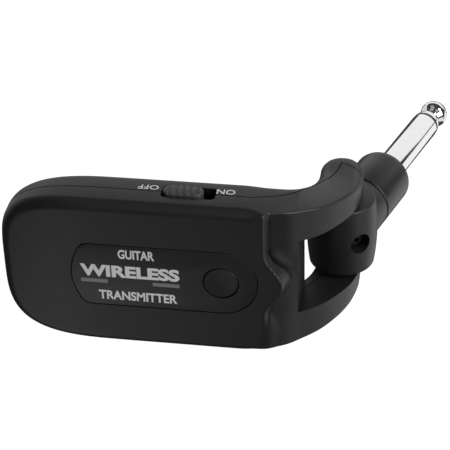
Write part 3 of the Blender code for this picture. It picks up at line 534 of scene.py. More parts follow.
@dataclass
class Housing(Sides):
    """The two shells, with the fork, in their full roundness.

    Attributes hold the sizes, about the hinge axis, in metres.
    """

    back_y: float = -11.5 * MM
    end_x: float = -69.5 * MM
    end_length: float = 25.5 * MM
    end_power: float = 3.8
    crown_length: float = 24.0 * MM
    face_crown: float = 2.4 * MM
    back_crown: float = 2.8 * MM
    back_round: float = 2.6 * MM
    wall: float = 1.6 * MM
    face_wall: float = 1.8 * MM
    taper_start: float = -19.0 * MM
    taper_end: float = 4.6 * MM
    tip_half: float = 13.91 * MM
    window_half: float = 8.91 * MM
    window_x: float = -7.1 * MM
    pin_reach: float = 11.4 * MM
    seam: float = 0.24 * MM
    columns: int = 128
    rear_columns: int = 10
    rim_steps: int = 7
    fork_steps: int = 12
    edge_x: float = -13.0 * MM
    bulge: float = 3.7 * MM
    bulge_half: float = 7.6 * MM
    relief_reach: Point = (-22.0 * MM, 2.0 * MM)
    step_width: Point = (-0.35 * MM, 0.6 * MM)
    step_lean: float = 1.2 * MM
    step_spread: float = 4.5
    dip_rise: Point = (-0.6 * MM, 0.35 * MM)
    dip_fall: Point = (0.35 * MM, 6.5 * MM)
    dip_depths: list[Point] = field(default_factory=lambda: in_mm(
        (-17.7, 0.0), (-11, 0.1), (-4, 0.6), (0.0, 0.8), (8, 0.85), (17.7, 0.9)))
    groove_depth: float = 0.75 * MM
    groove_width: float = 0.42 * MM
    lump_height: float = 0.5 * MM
    lump_place: Point = (1.5 * MM, 5.6 * MM)
    lump_size: Point = (1.3 * MM, 2.2 * MM)
    chin_lift: float = 0.6 * MM
    chin_x: float = -12.5 * MM
    chin_width: float = 3.2 * MM
    tip_y: float = 2.5 * MM
    finger_radius: float = 4.55 * MM
    finger_centre: Point = (-0.45 * MM, 2.75 * MM)
    front_fork: list[Point] = field(default_factory=lambda: in_mm(
        (-14.4, -23.5), (-12.6, -22.9), (-9.4, -21.3), (-6.6, -19.3), (-3.0, -16.6),
        (0.0, -13.0), (2.7, -8.3), (4.0, -3.8), (4.1, 0.2)))
    back_fork: list[Point] = field(default_factory=lambda: in_mm(
        (-14.4, -11.45), (-12.7, -11.2), (-10.2, -10.5), (-8.3, -9.4), (-6.9, -7.6),
        (-5.9, -5.4), (-5.3, -2.8), (-5.0, -0.4), (-4.95, 1.8)))
    seam_line: list[Point] = field(default_factory=lambda: in_mm(
        (-17.0, -17.4), (-12.2, -15.6), (-8.4, -12.8), (-5.6, -8.9), (-3.8, -5.4),
        (-2.3, -2.4), (-1.3, 0.5), (-0.7, 3.6)))
    seam_end: list[Point] = field(default_factory=lambda: in_mm((3.4, 1.6), (12, -2.6)))
    screw_places: list[Point] = field(default_factory=lambda: in_mm(
        (-61.3, 10.2), (-61.3, -10.2), (-12.6, 12.4), (-12.6, -12.4)))
    screw_profile: list[Point] = field(default_factory=lambda: in_mm(
        (0, 0), (1.2, -0.02), (1.75, -0.2), (2.0, -0.5), (2.0, -1.7), (1.0, -1.7),
        (1.0, -7.8), (0, -8.6)))
    tip_turns: tuple[float, ...] = (
        0.0, 0.12, 0.25, 0.38, 0.5, 0.62, 0.74, 0.86, 0.98, 1.1, 1.2, 1.3, 1.38)

    def half_height(self, x: float) -> float:
        """Half of the housing's size along the hinge axis at x."""
        share = min(1.0, max(0.0, (x - self.taper_start) / (self.taper_end - self.taper_start)))
        return self.half_width - (self.half_width - self.tip_half) * share ** 1.5

    def end_line(self, inset: float, count: int = 26) -> list[Point]:
        """Upper edge of the rounded closed end.

        Args:
            inset: How far inside the outer edge.
            count: Points along it.

        Returns:
            (x, z) points from the end to the straight body.
        """
        start = self.end_x + self.end_length
        length, height = self.end_length - inset, self.half_width - inset
        turns = [math.pi / 2 * (1 - (step + 0.25) / count) for step in range(count)]
        return [(start - length * math.sin(turn) ** (2 / self.end_power),
                 height * math.cos(turn) ** (2 / self.end_power)) for turn in turns]

    def crown(self, x: float, amount: float) -> float:
        """How far a face falls back near the closed end."""
        start = self.end_x + self.crown_length
        return amount * max(0.0, (start - x) / self.crown_length) ** 2.2

    def edge_at(self, z: float) -> float:
        """Right-hand edge of the raised face, which bulges round the button.

        Args:
            z: Place along the hinge axis.

        Returns:
            The edge's place along the body.
        """
        if abs(z) >= self.bulge_half:
            return self.edge_x
        return self.edge_x + self.bulge * 0.5 * (1 + math.cos(math.pi * z / self.bulge_half))

    def front_shift(self, x: float, y: float, z: float) -> float:
        """How far the front surface lies behind the plain fork line.

        Args:
            x: Place along the body.
            y: The plain line's place there.
            z: Place along the hinge axis.

        Returns:
            The distance toward the back.
        """
        left, right = self.relief_reach
        if not left <= x <= right:
            return 0.0
        past = x - self.edge_at(z) + self.step_lean * ease(8 * MM, 17 * MM, -z)
        spread = 1 + self.step_spread * ease(6 * MM, 13 * MM, -z)
        step = 1 - ease(self.step_width[0] * spread, self.step_width[1] * spread, past)
        dip = ease(*self.dip_rise, past) * (1 - ease(*self.dip_fall, past))
        crisp = ease(-11 * MM, -5 * MM, z) * (1 - 0.8 * ease(14 * MM, 17 * MM, z))
        groove = self.groove_depth * crisp * bell(past / self.groove_width)
        lump = self.lump_height * bell((past - self.lump_place[0]) / self.lump_size[0],
                                       (z - self.lump_place[1]) / self.lump_size[1])
        return (self.face_y - y) * step + along(self.dip_depths, z) * dip + groove - lump

    def rim(self, radius: float) -> list[Point]:
        """Steps round a rim from its flat to its side, as (depth, inset)."""
        turns = [math.pi / 2 * (1 - step / self.rim_steps) for step in range(self.rim_steps + 1)]
        return [(radius * (1 - math.sin(turn)), radius * (1 - math.cos(turn))) for turn in turns]

    def section(self, front: list[Place], back: list[Place]) -> list[Place]:
        """One closed section of the body.

        Args:
            front: Upper half of the front rim, from its flat to its side.
            back: Upper half of the back rim, from its side to its flat.

        Returns:
            The section's points, once round.
        """
        x, y, z = front[0]
        face = [(x, y, z * (2 * step / self.columns - 1)) for step in range(self.columns + 1)]
        upper = front[1:] + back
        bx, by, bz = back[-1]
        rear = [(bx, by, bz * (1 - 2 * step / self.rear_columns))
                for step in range(1, self.rear_columns)]
        lower = [(px, py, -pz) for px, py, pz in reversed(upper)]
        ring = face + upper + rear + lower
        count = len(face) + self.rim_steps

        def settled(index: int, point: Place) -> Place:
            """Lower a front point by the shape of the raised face, and lift its chin."""
            onto_front = index < count or index >= len(ring) - self.rim_steps
            if not onto_front or point[1] > self.tip_y:
                return point
            fade = 1 - 0.35 * min(1.0, abs(point[1] - y) / (1.5 * MM))
            near_chin = bell((x - self.chin_x) / self.chin_width)
            lift = self.chin_lift * ease(13 * MM, 17 * MM, -point[2]) * near_chin
            return (point[0], point[1] + fade * self.front_shift(x, y, point[2]), point[2] + lift)

        return [settled(index, point) for index, point in enumerate(ring)]

    def sections(self) -> list[list[Place]]:
        """Every section from the closed end to the arms' tips."""
        rings = []
        face_rim, back_rim = self.rim(self.face_round(self.end_x)), self.rim(self.back_round)
        fronts = [(depth, self.end_line(inset)) for depth, inset in face_rim]
        backs = [(depth, self.end_line(inset)) for depth, inset in back_rim[::-1]]
        for index in range(len(self.end_line(0.0))):
            front = [(line[index][0], self.face_y + self.crown(line[index][0], self.face_crown)
                      + depth, line[index][1]) for depth, line in fronts]
            back = [(line[index][0], self.back_y - self.crown(line[index][0], self.back_crown)
                     - depth, line[index][1]) for depth, line in backs]
            rings.append(self.section(front, back))

        start = self.end_x + self.end_length
        straight = [start + (self.taper_start - start) * share / 14 for share in range(1, 15)]
        lead_in = [self.taper_start + (self.front_fork[0][0] - self.taper_start) * share / 10
                   for share in range(1, 10)]
        tip = [arc(self.finger_centre, self.finger_radius, turn, turn, 1)[0]
               for turn in self.tip_turns]
        tip_back = [(2 * self.finger_centre[0] - x, y) for x, y in tip]
        level = straight + lead_in
        front_line = [*((x, self.face_y) for x in level),
                      *flowing(self.front_fork, self.fork_steps), *tip]
        back_line = [*((x, self.back_y) for x in level),
                     *flowing(self.back_fork, self.fork_steps), *tip_back]
        reach = self.taper_start
        for (front_at, back_at, front_in, back_in) in zip(
                front_line, back_line, self.normals(front_line), self.normals(back_line)):
            reach = max(reach, front_at[0])
            height = self.half_height(reach)
            radius = self.face_round(front_at[0], front_at[1])
            front = [(front_at[0] + front_in.x * depth, front_at[1] + front_in.y * depth,
                      height - inset) for depth, inset in self.rim(radius)]
            back = [(back_at[0] - back_in.x * depth, back_at[1] - back_in.y * depth,
                     height - inset) for depth, inset in self.rim(self.back_round)[::-1]]
            rings.append(self.section(front, back))
        return rings

    def face_round(self, x: float, y: float = -23.5 * MM) -> float:
        """Radius of the face's rim, which is small along the arms and full at their tips."""
        body = 2.1 * MM - 1.7 * MM * ease(-17 * MM, -11.5 * MM, x)
        return body + (self.back_round - body) * ease(-13 * MM, 3 * MM, y)

    @staticmethod
    def normals(line: list[Point]) -> list[Vector]:
        """Unit normals to the left of a line as it runs.

        Args:
            line: The line's points.

        Returns:
            One normal for each point.
        """
        found = []
        for index in range(len(line)):
            before, after = line[max(0, index - 1)], line[min(len(line) - 1, index + 1)]
            found.append(Vector((before[1] - after[1], after[0] - before[0])).normalized())
        return found

    def solid(self) -> bmesh.types.BMesh:
        """The outer form as one closed solid, extruded from section to section."""
        rings = self.sections()
        work = bmesh.new()
        verts = [work.verts.new(point) for point in rings[0]]
        edges = [work.edges.new(pair) for pair in zip(verts, verts[1:] + verts[:1])]
        self.close_end(work, verts, across=True)
        for ring in rings[1:]:
            grown = bmesh.ops.extrude_edge_only(work, edges=edges)["geom"]
            fresh = {vert.co.copy().freeze(): vert for vert in grown
                     if isinstance(vert, bmesh.types.BMVert)}
            verts = [fresh[vert.co.copy().freeze()] for vert in verts]
            for vert, point in zip(verts, ring):
                vert.co = point
            edges = [edge for edge in grown if isinstance(edge, bmesh.types.BMEdge)
                     and edge.is_boundary]
        self.close_end(work, verts, across=False)
        bmesh.ops.triangulate(work, faces=work.faces, ngon_method="BEAUTY")
        bmesh.ops.recalc_face_normals(work, faces=work.faces)
        return work

    def close_end(self, work: bmesh.types.BMesh, ring: list[bmesh.types.BMVert],
                  across: bool) -> None:
        """Close the first or last section with flat strips.

        Args:
            work: The body.
            ring: The section's vertices in order.
            across: True to join the upper half to the lower, False to join front to back.
        """
        face, rim = ring[:self.columns + 1], 2 * self.rim_steps + 1
        upper = [face[-1]] + ring[self.columns + 1:self.columns + 1 + rim]
        lower = [face[0]] + ring[:-rim - 1:-1]
        rear = ring[self.columns + 1 + rim:-rim]
        strips = []
        if across:
            for a, b, c, d in zip(upper, upper[1:], lower[1:], lower):
                strips.append([a, b, c, d])
            strips[0] = face + [upper[1], lower[1]]
            strips[-1] = [lower[-2], upper[-2], upper[-1], *rear, lower[-1]]
        else:
            for side in (upper, lower):
                for index in range(self.rim_steps):
                    strips.append([side[index], side[index + 1],
                                   side[-index - 2], side[-index - 1]])
            strips.append(face + [upper[-1], *rear, lower[-1]])
        for strip in strips:
            work.faces.new(strip)

    def cavity(self) -> bmesh.types.BMesh:
        """The room inside, with the screw bosses standing in it."""
        right = self.window_x - self.wall
        steps = [self.end_x + self.end_length + 1 * MM, self.taper_start, -12.6 * MM, right]
        upper = self.end_line(self.wall, 14)
        upper += [(x, self.half_height(x) - self.wall) for x in steps]
        room = Bench.plate(upper + [(x, -z) for x, z in reversed(upper)], -FAR, FAR, "Y")
        plan = [(self.end_x + self.wall, self.face_y + self.face_crown + 1 * MM),
                (self.end_x + self.crown_length, self.face_y + self.face_wall),
                (-17 * MM, self.face_y + self.face_wall), (-13 * MM, -20.5 * MM),
                (right, -18.5 * MM), (right, self.back_y - self.wall),
                (self.end_x + self.crown_length, self.back_y - self.wall),
                (self.end_x + self.wall, self.back_y - self.back_crown - self.wall)]
        room = Bench.carved(room, [Bench.plate(plan, -FAR, FAR, "Z")], "INTERSECT")
        bosses = [Bench.rod(2.4 * MM, (x, -FAR, z), (x, FAR, z)) for x, z in self.screw_places]
        return Bench.carved(room, bosses)

    def side(self, front: bool) -> bmesh.types.BMesh:
        """Everything on one side of the seam, the back's side grown by the seam's gap.

        Args:
            front: True for the front's side.

        Returns:
            The tool, which cuts away that side.
        """
        far_left = self.end_x - 10 * MM
        line = [(far_left, self.parting_y), *flowing(self.seam_line, 6), *self.seam_end]
        far_right = line[-1][0]
        if front:
            return Bench.plate(line + [(far_right, -FAR), (far_left, -FAR)], -FAR, FAR, "Z")
        line = shifted(line + [(far_right, FAR), (far_left, FAR)], self.seam)
        return Bench.plate(line, -FAR, FAR, "Z")

    def cutters(self, controls: "Controls") -> list[bmesh.types.BMesh]:
        """Tools for every hole through the shells.

        Args:
            controls: The badge, button and switch, which set their openings.

        Returns:
            The tools.
        """
        through = self.half_width - 3 * MM
        tools = [Bench.block((self.window_x, -FAR, -self.window_half),
                             (FAR, FAR, self.window_half)),
                 Bench.rod(PIN_BORE, (0, 0, -self.pin_reach), (0, 0, self.pin_reach)),
                 Bench.plate(controls.slot_outline(), through, FAR, "Z"),
                 Bench.plate(stadium(controls.port_centre, *controls.port_opening), -FAR,
                             -through, "Z"),
                 Bench.rod(controls.light_radius, (controls.light_x, self.parting_y, -FAR),
                           (controls.light_x, self.parting_y, -through), 24),
                 Bench.plate(controls.badge_outline(-controls.groove), -FAR,
                             self.face_y + 0.9 * MM, "Y"),
                 Bench.rod(controls.button_radius + controls.groove, (controls.button_x, -FAR, 0),
                           (controls.button_x, self.face_y + 4 * MM, 0), 96)]
        for x, z in self.screw_places:
            tools.append(Bench.rod(1.3 * MM, (x, self.face_y + 3.4 * MM, z), (x, FAR, z), 24))
            tools.append(Bench.rod(2.3 * MM, (x, self.back_y - 2.6 * MM, z), (x, FAR, z), 40))
        return tools

    def build(self, controls: "Controls") -> None:
        """Make both shells.

        Args:
            controls: What sits in their openings.
        """
        whole = Bench.carved(self.solid(), [self.cavity(), *self.cutters(controls)])
        for name, tool in (("front_shell", self.side(False)), ("back_shell", self.side(True))):
            half = Bench.carved(whole.copy(), [tool])
            Piece.fine(name, Body.HOUSING, SHELL_BLACK, "black_plastic").place(half)
        whole.free()

    def screws(self) -> None:
        """Make the four shell screws, with cross recesses."""
        back = self.back_y - 0.6 * MM
        for number, (x, z) in enumerate(self.screw_places, 1):
            long, narrow, deep = 1.15 * MM, 0.2 * MM, 0.9 * MM
            arms = [Bench.block((-wide, -tall, -deep), (wide, tall, 1 * MM))
                    for wide, tall in ((long, narrow), (narrow, long))]
            work = Bench.carved(Bench.spun(self.screw_profile, 40), arms)
            place = (Matrix.Translation((x, back, z)) @ Matrix.Rotation(-math.pi / 2, 4, "X")
                     @ Matrix.Rotation(0.4 + number, 4, "Z"))
            Piece.fine(f"shell_screw_{number}", Body.HOUSING, SCREW_STEEL, "steel").place(
                Bench.moved(work, place))


# ---- Badge, button, switch and lettering --------------------------------------------
@dataclass
class Controls(Sides):
    """What a finger or an eye finds on the housing."""

    groove: float = 0.22 * MM
    button_x: float = -22.5 * MM
    button_radius: float = 3.6 * MM
    badge_left: float = -53.9 * MM
    badge_half: float = 7.5 * MM
    badge_thickness: float = 0.6 * MM
    knob_left: float = -34.9 * MM
    knob_length: float = 8.4 * MM
    knob_width: float = 3.6 * MM
    knob_proud: float = 0.6 * MM
    travel: float = 2.2 * MM
    port_centre: Point = (-22.5 * MM, -16.4 * MM)
    port_opening: Point = (9.6 * MM, 3.8 * MM)
    light_x: float = -31.0 * MM
    light_radius: float = 1.15 * MM

    def badge_outline(self, inset: float) -> list[Point]:
        """The badge, bulged at the left, with a half-round end about the button.

        Args:
            inset: How far inside the badge's edge.

        Returns:
            The outline.
        """
        half = self.badge_half - inset
        right = arc((self.button_x, 0), half, -math.pi / 2, math.pi / 2, 40)
        corner, left = 2.8 * MM, self.badge_left + inset
        upper = arc((left + 1.3 * MM + corner, half - corner), corner,
                    math.pi / 2, math.pi * 0.92, 10)
        end_x, end_z = upper[-1]
        shares = [step / 10 for step in range(9, -1, -1)]
        side = [(left + (end_x - left) * share ** 2, end_z * share) for share in shares]
        return right + upper + side + [(x, -z) for x, z in reversed(upper + side[:-1])]

    def slot_outline(self) -> list[Point]:
        """The switch's slot, with rounded corners."""
        gap = 0.3 * MM
        low_x, high_x = self.knob_left - gap, self.knob_left + self.knob_length + self.travel + gap
        return rounded_box((low_x, self.parting_y - self.knob_width / 2 - gap),
                           (high_x, self.parting_y + self.knob_width / 2 + gap), 0.9 * MM)

    def build(self) -> None:
        """Make the badge, the button, the switch and the printing."""
        self.badge()
        self.button()
        self.knob()
        self.port()
        self.lettering()

    def badge(self) -> None:
        """The inlaid badge plate."""
        plate = Bench.plate(self.badge_outline(0.0), self.face_y,
                            self.face_y + self.badge_thickness, "Y", soften=0.08 * MM)
        hole = Bench.rod(self.button_radius + self.groove, (self.button_x, -FAR, 0),
                         (self.button_x, 0, 0), 96)
        Piece.fine("badge_plate", Body.HOUSING, BADGE_BLACK, "badge_plastic").place(
            Bench.carved(plate, [hole]))

    def button(self) -> None:
        """The round button, flush, with a rounded rim and a slightly dished top."""
        radius, wall = self.button_radius, 1.8 * MM
        rim = arc((radius - 0.28 * MM, -0.28 * MM), 0.28 * MM, math.pi * 0.55, 0, 6)
        line = [(0, -0.10 * MM), (radius * 0.5, -0.07 * MM), (radius * 0.8, -0.02 * MM), *rim,
                (radius, -wall - 0.3 * MM), (radius + 0.9 * MM, -wall - 0.3 * MM),
                (radius + 0.9 * MM, -wall - 0.7 * MM), (1 * MM, -wall - 0.7 * MM),
                (1 * MM, -wall - 0.85 * MM), (0, -wall - 0.85 * MM)]
        place = (Matrix.Translation((self.button_x, self.face_y, 0))
                 @ Matrix.Rotation(math.pi / 2, 4, "X"))
        Piece.fine("function_button", Body.BUTTON, BUTTON_BLACK, "button_plastic").place(
            Bench.moved(Bench.spun(line, 96), place))

    def knob(self) -> None:
        """The switch's knob, with a softened rim and four finger grooves."""
        middle = self.knob_left + self.knob_length / 2
        top = self.half_width + self.knob_proud
        work = Bench.plate(stadium((middle, self.parting_y), self.knob_length, self.knob_width),
                           self.half_width - 1.6 * MM, top, "Z", soften=0.35 * MM)
        grooves = []
        for index in range(5):
            x = middle + (index - 2) * 1.45 * MM
            grooves.append(Bench.rod(0.36 * MM, (x, self.parting_y - 4 * MM, top),
                                     (x, self.parting_y + 4 * MM, top), 20))
        Piece.fine("switch_knob", Body.SLIDER, KNOB_GREY, "knob_plastic").place(
            Bench.carved(work, grooves))

    def port(self) -> None:
        """The charging port's tongue and its row of contacts."""
        x, y = self.port_centre
        low = -self.half_width + 1.0 * MM
        tongue = Bench.block((x - 3.2 * MM, y - 0.35 * MM, low),
                             (x + 3.2 * MM, y + 0.35 * MM, low + 5 * MM))
        Piece("port_tongue", Body.HOUSING, RING_BLACK, "insulator_ring").place(tongue)
        contacts = bmesh.new()
        for index in range(8):
            at = Vector((x + (index - 3.5) * 0.72 * MM, y + 0.38 * MM, low + 2.0 * MM))
            bmesh.ops.create_cube(contacts, size=1, matrix=Matrix.Translation(at) @ Matrix.Diagonal(
                (0.36 * MM, 0.06 * MM, 3.0 * MM, 1)))
        Piece("port_contacts", Body.HOUSING, BRIGHT_STEEL, "steel").place(contacts)

    def lettering(self) -> None:
        """Generic printing: plain words and bars on the badge, and the switch's two ends."""
        face = (Matrix.Translation((0, self.face_y - 0.012 * MM, 0))
                @ Matrix.Rotation(math.pi / 2, 4, "X"))
        for name, words, corners, weight in (
                ("print_upper", "GUITAR", in_mm((-43.8, 4.35), (-36.2, 6.65)), 0.06),
                ("print_middle", "WIRELESS", in_mm((-52.0, -0.45), (-31.1, 2.57)), 0.09),
                ("print_lower", "TRANSMITTER", in_mm((-48.4, -6.15), (-31.8, -3.85)), 0.06)):
            self.words(name, words, *corners, weight, face, PRINT_GREY)
        for name, (low, high) in (("print_bar_left", in_mm((-52.0, -2.0), (-46.3, -1.1))),
                                  ("print_bar_right", in_mm((-36.8, -2.0), (-31.2, -1.1)))):
            bar = Bench.block((low[0], self.face_y - 0.015 * MM, low[1]),
                              (high[0], self.face_y + 0.005 * MM, high[1]))
            Piece(name, Body.HOUSING, PRINT_DIM, "badge_plastic").place(bar)
        top = Matrix.Translation((0, 0, self.half_width + 0.012 * MM))
        for name, words, (low, high) in (
                ("print_off", "OFF", in_mm((-40.3, -17.1), (-36.0, -15.5))),
                ("print_on", "ON", in_mm((-24.0, -17.1), (-20.2, -15.4)))):
            middle = (Vector(low) + Vector(high)).to_3d() / 2
            turned = (top @ Matrix.Translation(middle) @ Matrix.Rotation(math.pi, 4, "Z")
                      @ Matrix.Translation(-middle))
            self.words(name, words, low, high, 0.02, turned, PRINT_WHITE)

    def words(self, name: str, words: str, low: Point, high: Point, weight: float, place: Matrix,
              finish: Finish) -> None:
        """Print words that fill a rectangle.

        Args:
            name: The piece's name.
            words: What it says.
            low: The rectangle's lowest corner, in the plane of the printing.
            high: Its highest corner.
            weight: How much heavier than the plain letter.
            place: Where that plane lies.
            finish: The ink.
        """
        curve = bpy.data.curves.new(name, "FONT")
        curve.body = words
        curve.offset = weight / 2
        curve.resolution_u = 6
        holder = bpy.data.objects.new(name, curve)
        bpy.context.scene.collection.objects.link(holder)
        bpy.context.view_layer.update()
        mesh = bpy.data.meshes.new_from_object(holder.evaluated_get(
            bpy.context.evaluated_depsgraph_get()))
        bpy.data.objects.remove(holder)
        work = bmesh.new()
        work.from_mesh(mesh)
        bmesh.ops.remove_doubles(work, verts=work.verts, dist=1e-5)
        xs, ys = [v.co.x for v in work.verts], [v.co.y for v in work.verts]
        wide, tall = max(xs) - min(xs), max(ys) - min(ys)
        bmesh.ops.translate(work, verts=work.verts, vec=(-min(xs), -min(ys), 0))
        bmesh.ops.scale(work, verts=work.verts,
                        vec=((high[0] - low[0]) / wide, (high[1] - low[1]) / tall, 1))
        grown = bmesh.ops.extrude_face_region(work, geom=work.faces[:], use_keep_orig=True)
        raised = [item for item in grown["geom"] if isinstance(item, bmesh.types.BMVert)]
        bmesh.ops.translate(work, verts=raised, vec=(0, 0, -0.02 * MM))
        bmesh.ops.translate(work, verts=work.verts, vec=(*low, 0))
        bmesh.ops.recalc_face_normals(work, faces=work.faces)
        slot = "badge_plastic" if finish is PRINT_GREY else "knob_plastic"
        Piece(name, Body.HOUSING, finish, slot).place(Bench.moved(work, place))


# ---- Swivel and plug ----------------------------------------------------------------
@dataclass
class Plug:
    """The barrel, its neck, the collar and the plug itself.

    Attributes hold the sizes, in metres. The ball's points are its radius and the depth
    below its top.
    """

    barrel_radius: float = 7.55 * MM
    barrel_end: float = 6.95 * MM
    barrel_half: float = 8.0 * MM
    screw_bore: float = 2.35 * MM
    screw_sunk: float = 1.8 * MM
    screw_turn: float = math.radians(-52.0)
    tail_bore: float = 3.2 * MM
    rim: float = 0.4 * MM
    neck_radius: float = 6.4 * MM
    neck_end: float = 9.85 * MM
    seat: float = 23.8 * MM
    fillet: float = 2.6 * MM
    gap: float = 0.3 * MM
    flange_radius: float = 4.4 * MM
    sleeve_radius: float = 3.175 * MM
    sleeve_length: float = 22.6 * MM
    ring_length: float = 0.9 * MM
    tip_length: float = 8.0 * MM
    tip_shoulder: Point = (2.98 * MM, 0.55 * MM)
    ball: list[Point] = field(default_factory=lambda: in_mm(
        (0.0001, 0.0), (1.0, 0.10), (1.85, 0.5), (2.6, 1.25), (3.02, 2.2), (3.12, 3.1),
        (2.85, 3.9), (2.3, 4.6), (1.95, 5.15), (2.1, 5.7), (2.7, 6.3)))

    def axis(self) -> Matrix:
        """The plug's own frame, with its Z along the plug, about the hinge axis."""
        return Vector((0, 0, 1)).rotation_difference(PLUG_WAY).to_matrix().to_4x4()

    def build(self) -> None:
        """Make every piece that stays with the plug."""
        self.barrel()
        self.set_screw()
        self.collar()
        self.conductor()

    def turned(self, profile: list[Point], steps: int = 128) -> bmesh.types.BMesh:
        """Turn a profile about the plug's own axis."""
        return Bench.moved(Bench.spun(profile, steps), self.axis())

    def screw_way(self) -> Vector:
        """The way that the set screw's hole points, square to the hinge."""
        return Vector((math.cos(self.screw_turn), math.sin(self.screw_turn), 0))

    def barrel(self) -> None:
        """The barrel with its neck, bored for the pin, the lead and the set screw."""
        half, rim = self.barrel_half, 0.35 * MM
        body = []
        for step in range(25):
            z = half - rim - (2 * (half - rim)) * step / 24
            share = 1 - (z / half) ** 2
            body.append((self.barrel_end + (self.barrel_radius - self.barrel_end) * share, z))
        top = arc((body[0][0] - rim, half - rim), rim, math.pi / 2, 0, 5)
        low = [(radius, -z) for radius, z in reversed(top)]
        work = Bench.spun([(0, half), *top, *body[1:-1], *low, (0, -half)], 128)
        neck_rim = arc((self.neck_radius - self.rim, self.neck_end - self.rim), self.rim,
                       math.pi / 2, 0, 5)
        neck = self.turned([(0, self.neck_end), *neck_rim, (self.neck_radius, 0), (0, 0)])
        work = Bench.carved(work, [neck], "UNION")
        out = self.screw_way()
        tools = [Bench.moved(Bench.rod(self.tail_bore, (0, 0, 0), (0, 0, FAR)), self.axis()),
                 Bench.rod(PIN_BORE, (0, 0, -FAR), (0, 0, FAR)),
                 Bench.rod(self.screw_bore, out * 1 * MM, out * FAR, 72)]
        Piece.fine("swivel_block", Body.PLUG, SHELL_BLACK, "black_plastic").place(
            Bench.carved(work, tools))

    def set_screw(self) -> None:
        """The grub screw, with a rounded rim and a hexagon socket."""
        outer, inner = self.barrel_radius - self.screw_sunk, PIN_BORE
        radius = self.screw_bore - 0.25 * MM
        rim = [(radius * math.sin(turn), outer - 1.2 * MM * (1 - math.cos(turn)))
               for turn in (math.pi / 2 * step / 16 for step in range(1, 17))]
        work = Bench.spun([(0, outer), *rim, (radius, inner + 0.4 * MM), (radius - 0.4 * MM, inner),
                           (0, inner)], 48)
        socket = Bench.rod(0.7 * MM, (0, 0, outer - 1.5 * MM), (0, 0, FAR), 6)
        place = Vector((0, 0, 1)).rotation_difference(self.screw_way()).to_matrix().to_4x4()
        Piece.fine("set_screw", Body.PLUG, SCREW_BLACK, "steel").place(
            Bench.moved(Bench.carved(work, [socket]), place))

    def collar(self) -> None:
        """The satin collar, with its full rounded end."""
        start, bore = self.neck_end + self.gap, self.sleeve_radius + 0.12 * MM
        round_end = arc((self.neck_radius - self.fillet, self.seat - self.fillet), self.fillet,
                        math.pi / 2, 0, 16)
        back = arc((self.neck_radius - self.rim, start + self.rim), self.rim, 0, -math.pi / 2, 5)
        room, floor, roof = self.flange_radius + self.gap, start + 2 * MM, self.seat - 3 * MM
        line = [(bore, self.seat - 0.15 * MM), (bore + 0.15 * MM, self.seat), *round_end, *back,
                (self.tail_bore, start), (self.tail_bore, floor), (room, floor), (room, roof),
                (bore, roof)]
        Piece.fine("plug_collar", Body.PLUG, COLLAR_BLACK, "collar_plastic").place(
            self.turned(line))

    def conductor(self) -> None:
        """The sleeve, the ring and the ball tip, each bored for the next."""
        end, radius = self.seat + self.sleeve_length, self.sleeve_radius
        low, high = self.neck_end + self.gap + 2.3 * MM, self.seat - 3.3 * MM
        rim = arc((radius - 0.15 * MM, end - 0.15 * MM), 0.15 * MM, math.pi / 2, 0, 4)
        sleeve = [(1.85 * MM, end), *rim, (radius, high), (self.flange_radius, high),
                  (self.flange_radius, low), (2.9 * MM, low), (2.9 * MM, 5.2 * MM),
                  (1.85 * MM, 5.2 * MM)]
        Piece.fine("plug_sleeve", Body.PLUG, NICKEL, "nickel_plate").place(self.turned(sleeve))

        low, high = end + 0.05 * MM, end + self.ring_length
        outside = radius - 0.06 * MM
        ring = [(1.2 * MM, high), (radius - 0.12 * MM, high), (outside, high - 0.1 * MM),
                (outside, low), (1.55 * MM, low), (1.55 * MM, 5.6 * MM), (1.2 * MM, 5.6 * MM)]
        Piece.fine("plug_insulator", Body.PLUG, RING_BLACK, "insulator_ring").place(
            self.turned(ring, 96))

        base, top = high + 0.08 * MM, high + self.tip_length
        shoulder, height = self.tip_shoulder
        ball = [*((across, top - down) for across, down in self.ball), (shoulder, base + height)]
        tail = [(shoulder, base), (0.9 * MM, base), (0.9 * MM, 4.6 * MM), (0, 4.6 * MM)]
        line = [(0, top), *flowing(ball, 5)[1:], *tail]
        Piece.fine("plug_tip", Body.PLUG, NICKEL, "nickel_plate", crease=50).place(
            self.turned(line))


# ---- Carried-over nodes -------------------------------------------------------------
class Inside:
    """Gives every CAD node that stays its finish."""

    @staticmethod
    def dress() -> None:
        """Assign a finish to each node by the record's slot."""
        for row in frame["record"]["subparts"]:
            node = frame["nodes"].get(row["node"])
            if node is None or node.hide_render:
                continue
            finish = SLOT_FINISHES[row["material_slot"]]
            node.data.materials.clear()
            node.data.materials.append(finish.material())
            log.info("%s: %s", node.name, finish.name)


